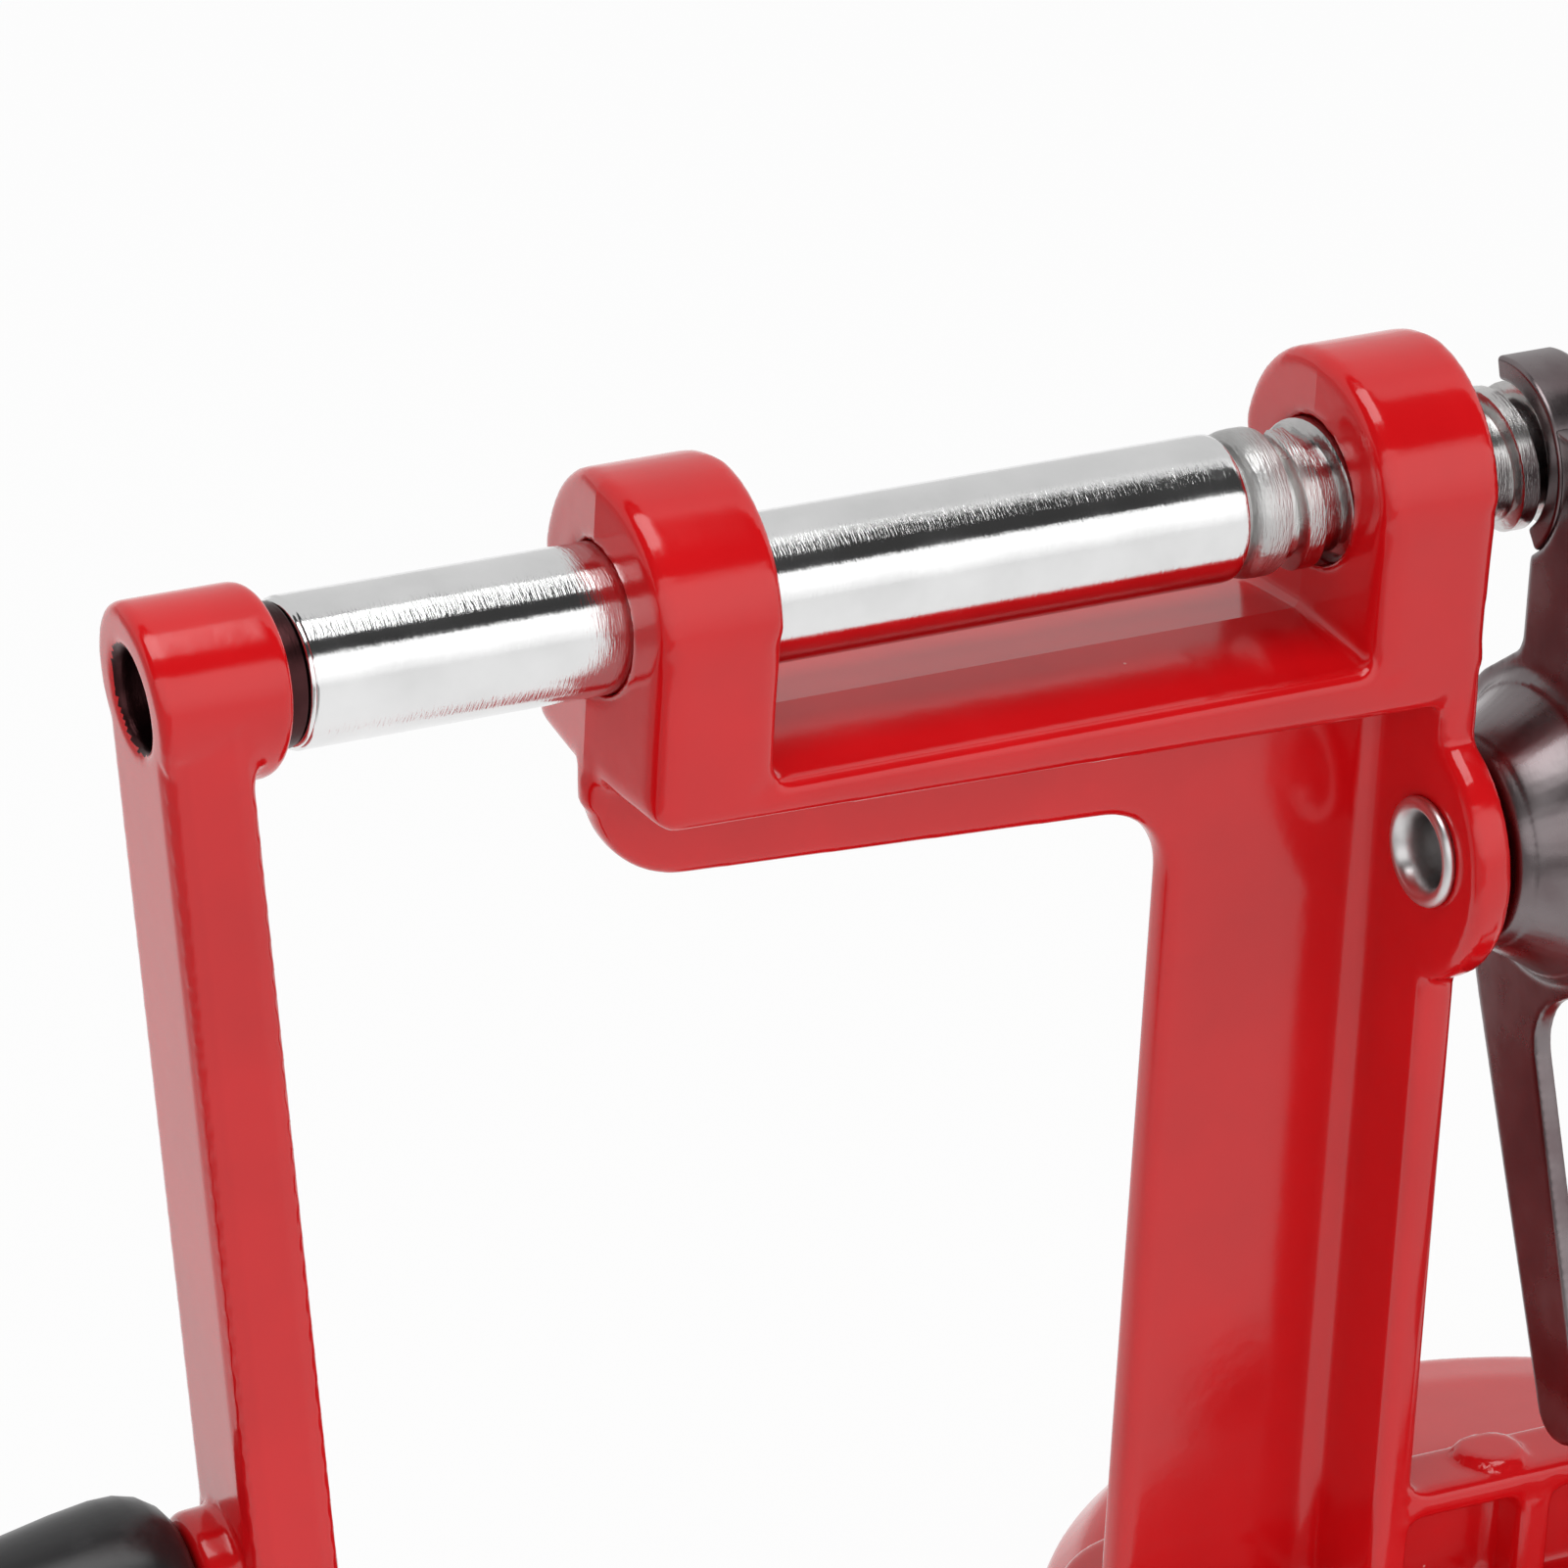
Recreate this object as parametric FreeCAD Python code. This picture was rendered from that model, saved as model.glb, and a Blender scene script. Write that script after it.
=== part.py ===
import FreeCAD, Part
import math
import os

# Hand-cranked tornado potato cutter, millimetres.
# +X runs along the feed shaft from the crank to the blade, +Z is up.
# The origin is the centre of the round base on the table.

V = FreeCAD.Vector

# ---- driving dimensions ----
running_fit = 0.08        # radial clearance of a turning or sliding fit
side_gap = 0.3            # gap between faces that move past each other

# feed shaft
shaft_height = 136.0      # shaft axis above the table
shaft_r = 6.0
thread_root_r = 5.45      # plain core that stands for the coarse thread
thread_pitch = 4.0        # feed per turn
neck_r = 5.2              # thread run-out neck
neck_len = 4.5
shoulder_x = -128.2       # crank end of the full diameter
smooth_end_x = -45.5      # where the thread run-out starts
tang_r = 3.9              # spigot that carries the crank
tang_len = 6.5            # spigot inside the crank hub
journal_r = 4.5           # short neck between shoulder and hub
shaft_chamfer = 1.0
forward_turns = 6         # whole turns from rest to the front stop
back_turns = 15           # whole turns from rest to the rear stop
fork_spigot_r = 4.0
fork_spigot_len = 10.0

# crank
hub_r = 7.6
hub_inner_x = -130.2      # hub face beside the thrust washer
hub_outer_x = -140.6      # hub face on the shaft axis, grip side
arm_lean = 7.8            # degrees, the arm leans in towards the frame
arm_twist = 6.0           # degrees, the outer face turns to the rear
arm_width = 14.0
arm_thick = 7.4
crank_radius = 78.7       # shaft axis to grip axis, along the arm
arm_edge_r = 0.9
crank_pin_r = 1.2

# grip
grip_len = 62.0
grip_inner_r = 8.8
grip_waist_r = 6.6
grip_outer_r = 8.2
axle_r = 2.5
grip_collar_r = 6.0
grip_collar_len = 3.4
axle_head_r = 4.6
axle_head_len = 2.0

# frame casting
ear_half = 11.3           # half width of the bearing ears
ear_len = 10.6
rear_ear_x = -101.0       # rear ear, crank side face
front_ear_x = -36.4       # front ear, crank side face
ear_edge_r = 1.1
slab_top = shaft_height - 11.4
slab_rear_bottom = slab_top - 2.5
slab_front_bottom = slab_top - 4.3
web_half = 1.6            # half thickness of the upright web
web_rear_x = -101.2
web_bottom_rear = slab_top - 11.1    # lower edge of the beam web at the rear end
web_bottom_front = slab_top - 14.0   # lower edge where it meets the column
web_end_r = 9.0
web_corner_r = 6.5
column_left_x = -48.4
flange_x0 = -29.6         # column flange, crank side face
flange_thick = 3.5
cove_r = 1.8              # inside fillet of web and flange
lug_r = 11.3
lug_y = -7.0
lug_drop = 0.8            # lug centre below the pivot
pivot_y = -10.2           # release lever pivot
pivot_z = shaft_height - 28.6

# foot of the frame on the base
foot_bottom = 32.0
foot_thick = 3.5
foot_half = 13.0
foot_end_r = 12.0         # round end of the foot under the column
foot_start_x = -50.4
foot_end_x = 31.0
spine_y0 = -11.5
spine_y1 = -4.5
spine_top = 48.0
spine_recess = 4.5
spine_lip = 2.6
spine_boss_x = -16.5
spine_boss_r = 2.9
rib_pitch = 14.0
rib_width = 3.2
foot_screw_x = (-20.0, 18.0)
foot_screw_r = 2.0
screw_head_r = 3.6
screw_head_len = 2.4
screw_boss_r = 5.5
screw_boss_z = 23.5       # lower end of the screw bosses in the dome

# round base
base_r = 50.0
shoulder_r = base_r - 7.0
shoulder_z = 27.0
dome_top = 31.0
base_wall = 3.0
pad_half = 14.5
base_rim_z = 10.0

# suction cup and its lever
cup_r = base_r - 6.0
cup_rim = 1.6
cup_bottom = 0.3
cup_hollow = 5.6
stem_r = 5.0
stem_top = 26.5
stem_seat = 1.0           # how deep the stem sits in the cup
cam_axis_z = 18.5
cam_shaft_r = 3.5
cam_throw = 1.5           # offset of the eccentric pin, half the lift
cam_pin_r = 1.6
cam_play = 0.45           # slack of the pin in the stem window
suction_arm_len = 46.0
suction_arm_thick = 5.0
suction_arm_r = 7.5
suction_tip_r = 5.5
lever_boss_r = 8.0
cam_screw_r = 1.5

# release lever
lever_x0 = -18.4          # plate, crank side face
lever_thick = 1.7
lever_neck_y = (-13.8, -4.6)
lever_belly_y = (-22.0, 3.4)
lever_waist_y = (-10.6, -2.6)
lever_tip_y = (-24.0, -17.6)
lever_head = 5.0          # plate above the shaft axis
lever_arm = 52.4          # pivot to the end of the thumb arm
half_nut_r = 8.2
half_nut_len = 6.4
half_nut_from = 72.0      # degrees round the shaft, from +Y over the top
half_nut_to = 230.0
stop_gap = 3.1            # jaw to fork at the rear stop
pan_gap = 0.5             # between the column and the pressed pan
pan_r = 8.6
pan_foot_r = 12.2
rivet_r = 3.7
rivet_bore_r = 3.2
rivet_rim_r = 4.5
rivet_rim_len = 0.9
pivot_washer_r = 6.0
pivot_washer_len = 0.8
coil_r = 4.9
coil_wire_r = 0.55

# potato fork
fork_collar_r = 8.5
fork_collar_len = 10.0
fork_plate_r = 14.0
fork_plate_len = 3.5
prong_circle_r = 10.2
prong_r = 1.4
prong_len = 26.0
prong_tip = 7.0
fork_screw_r = 1.5

# blade side
rail_height = 12.0
rail_thick = 7.0
rail_overlap = 16.0
blade_gap = 3.0           # prong tips to blade at full feed
post_thick = 6.0
post_top = 92.0
post_half = 9.0
blade_thick = 0.8
blade_width = 15.0
blade_bevel = 3.0
blade_eye_r = 8.0
core_r = 4.5              # uncut potato core that passes the eye
blade_screw_r = 1.6
blade_screw_z = (80.0, 88.0)
rail_screw_r = 2.0
knob_r = 7.0

# ---- derived places ----
forward_feed = forward_turns * thread_pitch
back_feed = back_turns * thread_pitch
lever_x1 = lever_x0 + lever_thick
half_nut_x1 = lever_x0 + half_nut_len
pan_x0 = flange_x0 + flange_thick + pan_gap
flange_x1 = flange_x0 + flange_thick
rear_ear_x1 = rear_ear_x + ear_len
front_ear_x1 = front_ear_x + ear_len
fork_x0 = half_nut_x1 + back_feed + stop_gap
fork_plate_x = fork_x0 + fork_collar_len
prong_end_x = fork_plate_x + fork_plate_len + prong_len
blade_x = prong_end_x + forward_feed + blade_gap
post_x = blade_x + blade_thick
thread_x0 = smooth_end_x + neck_len
cup_height = cup_hollow + 3.0
rail_x0 = foot_end_x - rail_overlap
rail_z0 = foot_bottom + foot_thick + side_gap
rail_z1 = rail_z0 + rail_height
rail_back = spine_y1 + rail_thick
rail_screw_places = (rail_x0 + 4.0, foot_end_x - 4.0)
rail_thread_y = spine_y0 + spine_recess
post_foot_x0 = post_x - 7.0
post_foot_x1 = post_x + 11.0
knob_x = post_foot_x0 + 4.5
knob_y = (spine_y1 + rail_back) / 2


# ---- helpers ----
def box(x0, x1, y0, y1, z0, z1):
    return Part.makeBox(x1 - x0, y1 - y0, z1 - z0, V(x0, y0, z0))


def rod(x, y, z, r, length, axis=V(1, 0, 0)):
    return Part.makeCylinder(r, length, V(x, y, z), axis)


def tube(x, y, z, r_out, r_in, length, axis=V(1, 0, 0)):
    return rod(x, y, z, r_out, length, axis).cut(rod(x, y, z, r_in, length, axis))


def fuse(*solids):
    whole = solids[0].multiFuse(list(solids[1:]))
    return whole.removeSplitter()


def rounded_face(corners):
    """Face in a plane from corners (point, radius); round corners become arcs."""
    count = len(corners)
    edges = []
    ends = []
    for i, (p, r) in enumerate(corners):
        if r <= 0:
            ends.append((p, p, None))
            continue
        back = (corners[i - 1][0] - p).normalize()
        ahead = (corners[(i + 1) % count][0] - p).normalize()
        half = back.getAngle(ahead) / 2
        reach = r / math.tan(half)
        middle = (back + ahead).normalize()
        crest = p + middle * (r / math.sin(half) - r)
        ends.append((p + back * reach, p + ahead * reach, crest))
    for i, (start, stop, crest) in enumerate(ends):
        if crest is not None:
            edges.append(Part.Arc(start, crest, stop).toShape())
        following = ends[(i + 1) % count][0]
        if (following - stop).Length > 1e-6:
            edges.append(Part.LineSegment(stop, following).toShape())
    return Part.Face(Part.Wire(edges))


def plate_xz(corners, y0, y1):
    pts = [(V(x, y0, z), r) for x, z, r in corners]
    return rounded_face(pts).extrude(V(0, y1 - y0, 0))


def plate_yz(corners, x0, x1):
    pts = [(V(x0, y, z), r) for y, z, r in corners]
    return rounded_face(pts).extrude(V(x1 - x0, 0, 0))


def plate_xy(corners, z0, z1):
    pts = [(V(x, y, z0), r) for x, y, r in corners]
    return rounded_face(pts).extrude(V(0, 0, z1 - z0))


def revolve_x(profile, y=0.0, z=0.0):
    """Solid of revolution about a line along X; profile is (x, radius)."""
    pts = [V(x, y, z + r) for x, r in profile]
    wire = Part.makePolygon(pts + [pts[0]])
    return Part.Face(wire).revolve(V(0, y, z), V(1, 0, 0), 360)


def revolve_z(profile, x=0.0, y=0.0):
    pts = [V(x + r, y, z) for r, z in profile]
    wire = Part.makePolygon(pts + [pts[0]])
    return Part.Face(wire).revolve(V(x, y, 0), V(0, 0, 1), 360)


def cove(x, y, z0, z1, r, sx, sy):
    """Upright inside fillet in the corner at x, y that opens to sx, sy."""
    block = Part.makeBox(r, r, z1 - z0, V(min(x, x + sx * r), min(y, y + sy * r), z0))
    return block.cut(rod(x + sx * r, y + sy * r, z0, r, z1 - z0, V(0, 0, 1)))


def coil(x0, y, z, radius, wire_r, pitch, height, axis_rotation):
    """Round-wire helix that starts at x0, y, z and runs along the turned Z axis."""
    helix = Part.makeHelix(pitch, height, radius)
    section = Part.Wire(Part.makeCircle(wire_r, V(radius, 0, 0), V(0, 1, 0)))
    solid = Part.Wire(helix).makePipeShell([section], True, True)
    solid.Placement = FreeCAD.Placement(V(x0, y, z), axis_rotation)
    return solid


# ---- frame ----
def bearing_ear(x0):
    """Arched ear with softened edges, standing on the slab."""
    arch = plate_yz([(-ear_half, slab_top - 1.5, 0), (ear_half, slab_top - 1.5, 0),
                     (ear_half, shaft_height + ear_half, ear_half - 0.01),
                     (-ear_half, shaft_height + ear_half, ear_half - 0.01)], x0, x0 + ear_len)
    rims = [e for e in arch.Edges if abs(e.BoundBox.XLength) < 1e-6 and e.BoundBox.ZMax > slab_top]
    return arch.makeFillet(ear_edge_r, rims)


def frame_casting():
    slab = plate_xz([(rear_ear_x, slab_top, 0), (flange_x1, slab_top, 0), (flange_x1, slab_front_bottom, 0),
                     (rear_ear_x, slab_rear_bottom, 2.2)], -ear_half, ear_half)
    web = plate_xz([(web_rear_x, slab_rear_bottom + 1, 0), (flange_x0 + 1, slab_rear_bottom + 1, 0),
                    (flange_x0 + 1, foot_bottom + 1, 0), (column_left_x, foot_bottom + 1, 0),
                    (column_left_x, web_bottom_front, web_corner_r),
                    (web_rear_x, web_bottom_rear, web_end_r)], -web_half, web_half)
    flange = box(flange_x0, flange_x1, -ear_half, ear_half, foot_bottom + 1, slab_top - 1)
    lug = rod(flange_x0, lug_y, pivot_z - lug_drop, lug_r, flange_thick)
    coves = [cove(flange_x0, side * web_half, foot_bottom + foot_thick, slab_front_bottom, cove_r, -1, side)
             for side in (-1, 1)]
    foot = plate_xy([(foot_start_x, -foot_half, foot_end_r), (foot_end_x, -foot_half, 4),
                     (foot_end_x, foot_half, 4), (foot_start_x, foot_half, foot_end_r)],
                    foot_bottom, foot_bottom + foot_thick)
    body = fuse(slab, web, flange, lug, foot, foot_spine(), bearing_ear(rear_ear_x),
                bearing_ear(front_ear_x), *coves)
    body = body.cut(rod(rear_ear_x - 1, 0, shaft_height, shaft_r + running_fit, flange_x1 - rear_ear_x + 2))
    body = body.cut(rod(flange_x0 - 1, pivot_y, pivot_z, rivet_r, flange_thick + 2))
    for x in foot_screw_x:
        body = body.cut(rod(x, 0, foot_bottom - 1, foot_screw_r, foot_thick + 5, V(0, 0, 1)))
    for x in rail_screw_places:
        body = body.cut(rod(x, rail_thread_y, (rail_z0 + rail_z1) / 2, rail_screw_r, 6, V(0, 1, 0)))
    return body


def foot_spine():
    """Ribbed bar on the foot that ties the column to the blade rail."""
    spine = box(flange_x1 - 1, foot_end_x, spine_y0, spine_y1, foot_bottom + 1, spine_top)
    x = flange_x1
    while x + rib_pitch - rib_width < foot_end_x:
        spine = spine.cut(box(x, x + rib_pitch - rib_width, spine_y0 - 1, spine_y0 + spine_recess,
                              foot_bottom + foot_thick, spine_top - spine_lip))
        x += rib_pitch
    boss = rod(spine_boss_x, spine_y1 - 3.0, spine_top - spine_lip, spine_boss_r, spine_lip + 0.8,
               V(0, 0, 1))
    return spine.fuse(boss)


def base_housing():
    """Cast dome, open below, with a flat pad for the foot and a boss for the cam shaft."""
    outer = [(0, dome_top), (0.44 * base_r, dome_top - 0.8), (0.72 * base_r, dome_top - 2.4),
             (shoulder_r, shoulder_z), (shoulder_r + 3.4, shoulder_z - 4.5),
             (base_r - 1, base_rim_z + 4), (base_r, base_rim_z), (base_r, 0), (0, 0)]
    inner = [(0, dome_top - base_wall), (0.68 * base_r, dome_top - base_wall - 2),
             (shoulder_r - 2, shoulder_z - base_wall), (base_r - base_wall - 1.5, base_rim_z + 2),
             (base_r - base_wall, 0), (0, 0)]
    dome = revolve_z(outer)
    pad = plate_xy([(column_left_x + 3.5, -pad_half, 4), (foot_end_x + 4, -pad_half, 4),
                    (foot_end_x + 4, pad_half, 4), (column_left_x + 3.5, pad_half, 4)],
                   shoulder_z - 5, foot_bottom)
    boss = rod(0, 6 - shoulder_r, cam_axis_z, lever_boss_r, base_r + 7.5 - shoulder_r, V(0, -1, 0))
    body = fuse(dome, pad, boss).cut(revolve_z(inner))
    bosses = [rod(x, 0, screw_boss_z, screw_boss_r, dome_top - screw_boss_z - 1, V(0, 0, 1))
              for x in foot_screw_x]
    guide_low = cam_axis_z + cam_shaft_r + side_gap
    guide = rod(0, 0, guide_low, stem_r + 2.5, dome_top - guide_low - 1, V(0, 0, 1))
    body = fuse(body, guide, *bosses)
    body = body.cut(rod(0, 0, guide_low - 1, stem_r + running_fit, stem_top + 4 - guide_low, V(0, 0, 1)))
    body = body.cut(rod(0, -stem_r - 1, cam_axis_z, cam_shaft_r + running_fit, base_r, V(0, -1, 0)))
    for x in foot_screw_x:
        body = body.cut(rod(x, 0, screw_boss_z - 1, foot_screw_r, foot_bottom - screw_boss_z + 2,
                            V(0, 0, 1)))
    return body


def base_screws():
    """Two screws that hold the frame foot to the dome from below."""
    solids = []
    top = foot_bottom + foot_thick
    for x in foot_screw_x:
        head = rod(x, 0, screw_boss_z - screw_head_len, screw_head_r, screw_head_len, V(0, 0, 1))
        shank = rod(x, 0, screw_boss_z - 0.5, foot_screw_r, top - screw_boss_z + 0.5, V(0, 0, 1))
        solids.append(fuse(head, shank))
    return Part.makeCompound(solids)


# ---- suction ----
def suction_cup():
    top = cup_bottom + cup_height
    profile = [(0, cup_bottom + cup_hollow), (0.32 * cup_r, cup_bottom + cup_hollow - 0.6),
               (0.68 * cup_r, cup_bottom + 2.6), (cup_r - 4, cup_bottom), (cup_r, cup_bottom),
               (cup_r, cup_bottom + cup_rim),
               (cup_r - 10, cup_bottom + 4.6), (0.41 * cup_r, top - 0.8), (0.2 * cup_r, top),
               (0.2 * cup_r, top + 1.6), (0, top + 1.6)]
    return revolve_z(profile).cut(rod(0, 0, top + 1.6 - stem_seat, stem_r, stem_seat + 1, V(0, 0, 1)))


def suction_stem():
    """Steel stem bonded in the cup, with a window for the eccentric pin."""
    low = cup_bottom + cup_height + 1.6 - stem_seat
    stem = rod(0, 0, low, stem_r, stem_top - low, V(0, 0, 1))
    pin_z = cam_axis_z - cam_throw
    wide = cam_throw + cam_pin_r + running_fit
    tall = cam_pin_r + cam_play
    return stem.cut(box(-wide, wide, -stem_r - 1, stem_r + 1, pin_z - tall, pin_z + tall))


def cam_shaft():
    """Cross shaft with the eccentric pin that lifts the stem."""
    start = stem_r + 1.5
    end = base_r + 1.5 + side_gap + suction_arm_thick
    shaft = rod(0, -start, cam_axis_z, cam_shaft_r, end - start, V(0, -1, 0))
    pin = rod(0, stem_r, cam_axis_z - cam_throw, cam_pin_r, start + stem_r + 0.5, V(0, -1, 0))
    return fuse(shaft, pin).cut(rod(0, 8 - end, cam_axis_z, cam_screw_r, 9, V(0, -1, 0)))


def suction_lever():
    y1 = -base_r - 1.5 - side_gap
    y0 = y1 - suction_arm_thick
    hub = rod(0, y0, cam_axis_z, suction_arm_r, y1 - y0, V(0, 1, 0))
    arm = plate_xz([(0, cam_axis_z + suction_arm_r - 1, 0),
                    (suction_arm_len, cam_axis_z + suction_tip_r, suction_tip_r - 0.5),
                    (suction_arm_len, cam_axis_z - suction_tip_r, suction_tip_r - 0.5),
                    (0, cam_axis_z - suction_arm_r + 1, 0)], y0, y1)
    thumb = rod(suction_arm_len - suction_tip_r, y0 + 1, cam_axis_z, suction_tip_r - 0.5, 9, V(0, -1, 0))
    lever = fuse(hub, arm, thumb)
    return lever.cut(rod(0, y0 - 1, cam_axis_z, cam_shaft_r, y1 - y0 + 2, V(0, 1, 0)))


def cam_screw():
    y0 = -base_r - 1.5 - side_gap - suction_arm_thick
    head = rod(0, y0, cam_axis_z, cam_shaft_r + 1.8, 2.2, V(0, -1, 0))
    return fuse(head, rod(0, y0 + 8, cam_axis_z, cam_screw_r, 9, V(0, -1, 0)))


# ---- release lever ----
def release_lever():
    """Stamped plate: neck beside the shaft, pan pressed out at the pivot, thumb arm below."""
    top = shaft_height + lever_head
    neck = pivot_z + 0.26 * lever_arm
    end = pivot_z - lever_arm
    front = lever_belly_y[0]
    back = lever_belly_y[1]
    outline = [(lever_neck_y[1], top, 1.5), (lever_neck_y[1], neck, 2.5), (back - 1.6, pivot_z + 8.6, 4),
               (back, pivot_z - 3.4, 6), (lever_waist_y[1], pivot_z - 18.4, 9), (lever_tip_y[1], end, 3.2),
               (lever_tip_y[0], end + 1.6, 3.0), (lever_waist_y[0], pivot_z - 16.4, 5),
               (front, pivot_z - 8.4, 6), (front + 0.5, pivot_z + 4.6, 6), (lever_neck_y[0], neck, 6),
               (lever_neck_y[0], top, 3)]
    plate = plate_yz(outline, lever_x0, lever_x1)
    plate = plate.cut(rod(lever_x0 - 1, 0, shaft_height, half_nut_r, lever_thick + 2))
    pan = revolve_x([(pan_x0, 0), (pan_x0, pan_r), (lever_x0, pan_foot_r), (lever_x1, pan_foot_r),
                     (lever_x1, 0)], pivot_y, pivot_z)
    floor_x = pan_x0 + lever_thick
    inside_r = pan_foot_r - lever_thick
    hollow = revolve_x([(floor_x, 0), (floor_x, pan_r - lever_thick / 2), (lever_x1, inside_r),
                        (lever_x1 + 1, inside_r), (lever_x1 + 1, 0)], pivot_y, pivot_z)
    plate = fuse(plate, pan).cut(hollow)
    return plate.cut(rod(pan_x0 - 1, pivot_y, pivot_z, rivet_r + running_fit, lever_thick + 2))


def half_nut():
    """Jaw that hugs the thread; open towards the rear so it can swing off."""
    bore = shaft_r + 2 * running_fit
    ring = revolve_x([(lever_x0, bore), (lever_x0, half_nut_r), (half_nut_x1 - 1.2, half_nut_r),
                      (half_nut_x1, half_nut_r - 1.2), (half_nut_x1, bore)], 0, shaft_height)
    far = 4 * half_nut_r
    span = half_nut_from + 360 - half_nut_to
    fan = [(0, shaft_height, 0)]
    for step in range(5):
        angle = math.radians(half_nut_to + span * step / 4)
        fan.append((far * math.cos(angle), shaft_height + far * math.sin(angle), 0))
    return ring.cut(plate_yz(fan, lever_x0 - 1, half_nut_x1 + 1))


def pivot_rivet():
    """Hollow rivet with rolled rims on both ends."""
    left = flange_x0
    right = lever_x1 + side_gap + pivot_washer_len
    soft = rivet_rim_len / 2
    return revolve_x([(left - rivet_rim_len, rivet_bore_r + soft),
                      (left - rivet_rim_len, rivet_rim_r - soft), (left - soft, rivet_rim_r),
                      (left, rivet_rim_r), (left, rivet_r), (right, rivet_r), (right, rivet_rim_r),
                      (right + soft, rivet_rim_r), (right + rivet_rim_len, rivet_rim_r - soft),
                      (right + rivet_rim_len, rivet_bore_r + soft), (right + soft, rivet_bore_r),
                      (left - soft, rivet_bore_r)], pivot_y, pivot_z)


def pivot_washer():
    return tube(lever_x1 + side_gap, pivot_y, pivot_z, pivot_washer_r, rivet_r, pivot_washer_len)


def lever_spring():
    """Torsion coil round the rivet, in the lever's pan."""
    start = pan_x0 + lever_thick + coil_wire_r + 0.15
    room = lever_x1 + side_gap - coil_wire_r - 0.15 - start
    turns = 4.5
    upright = FreeCAD.Rotation(V(0, 1, 0), 90)
    return coil(start, pivot_y, pivot_z, coil_r, coil_wire_r, room / turns, room, upright)


# ---- feed shaft and crank ----
crank_turn = FreeCAD.Rotation(V(0, 1, 0), -arm_lean) * FreeCAD.Rotation(V(0, 0, 1), -arm_twist)
crank_place = FreeCAD.Placement(V(hub_outer_x, 0, shaft_height), crank_turn)


def crank_local(shape):
    """Move a shape from the crank's own axes: outer face at x = 0, arm along -z."""
    shape.Placement = crank_place.multiply(shape.Placement)
    return shape


def crank_pin():
    """Cross pin through the hub and the shaft's spigot."""
    x = hub_inner_x - tang_len / 2
    return rod(x, -tang_r / 2, shaft_height, crank_pin_r, tang_r / 2 + hub_r - 0.3, V(0, 1, 0))


def feed_shaft():
    start = hub_inner_x - tang_len
    shaft = revolve_x([(start, 0), (start, tang_r), (hub_inner_x, tang_r), (hub_inner_x, journal_r),
                       (shoulder_x, journal_r), (shoulder_x, shaft_r - shaft_chamfer),
                       (shoulder_x + shaft_chamfer, shaft_r), (smooth_end_x, shaft_r),
                       (smooth_end_x + 0.5, neck_r), (smooth_end_x + 1.0, neck_r),
                       (smooth_end_x + 1.6, shaft_r - 0.1), (thread_x0, shaft_r - 0.1),
                       (thread_x0, thread_root_r),
                       (fork_x0, thread_root_r), (fork_x0, fork_spigot_r),
                       (fork_x0 + fork_spigot_len, fork_spigot_r), (fork_x0 + fork_spigot_len, 0)],
                      0, shaft_height)
    return shaft.cut(crank_pin())


def thrust_washer():
    """Loose washer that carries the push between the hub and the shaft shoulder."""
    gap = shoulder_x - hub_inner_x
    return tube(hub_inner_x + side_gap / 2, 0, shaft_height, shaft_r - 0.3, journal_r + running_fit,
                gap - side_gap)


def crank_arm():
    """Cast arm that leans and twists a little, with a round hub and a collar for the grip."""
    half = arm_width / 2
    bottom = -crank_radius - half
    arm = plate_yz([(-half, bottom, half - 0.01), (half, bottom, half - 0.01), (half, 0, 0), (-half, 0, 0)],
                   0, arm_thick)
    rims = [e for e in arm.Edges if abs(e.BoundBox.XLength) < 1e-6 and e.BoundBox.ZMin < -half]
    arm = arm.makeFillet(arm_edge_r, rims)
    collar = rod(-grip_collar_len, 0, -crank_radius, grip_collar_r, grip_collar_len + 1)
    hub = rod(hub_outer_x - 4, 0, shaft_height, hub_r, hub_inner_x - hub_outer_x + 4)
    hub = hub.cut(crank_local(box(-20, 0, -20, 20, -20, 20)))
    crank = fuse(hub, crank_local(arm), crank_local(collar))
    crank = crank.cut(rod(hub_outer_x - 5, 0, shaft_height, tang_r, hub_inner_x - hub_outer_x + 6))
    crank = crank.cut(crank_local(rod(-grip_collar_len - 1, 0, -crank_radius, axle_r, arm_thick + 6)))
    return crank.cut(crank_pin())


def handle_grip():
    """Spool-shaped plastic grip that spins on its axle."""
    start = -grip_collar_len - side_gap
    end = start - grip_len
    bore = axle_r + running_fit
    outline = [V(start - 0.4, 0, grip_inner_r - 1.8), V(start - 3.5, 0, grip_inner_r - 0.15),
               V(start - 8, 0, grip_inner_r - 0.1), V(start - 19, 0, grip_waist_r + 0.7),
               V(start - 29, 0, grip_waist_r), V(start - 40, 0, grip_waist_r + 0.5),
               V(end + 8, 0, grip_outer_r), V(end + 2.5, 0, grip_outer_r - 0.8),
               V(end, 0, grip_outer_r - 2.6)]
    curve = Part.BSplineCurve()
    curve.interpolate(outline)
    seat = end + axle_head_len + side_gap
    rest = Part.makePolygon([outline[-1], V(end, 0, axle_head_r + side_gap),
                             V(seat, 0, axle_head_r + side_gap), V(seat, 0, bore), V(start, 0, bore),
                             V(start, 0, grip_inner_r - 3), outline[0]])
    face = Part.Face(Part.Wire([curve.toShape()] + rest.Edges))
    grip = face.revolve(V(0, 0, 0), V(1, 0, 0), 360)
    grip.Placement = FreeCAD.Placement(V(0, 0, -crank_radius), FreeCAD.Rotation())
    return crank_local(grip)


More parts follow.
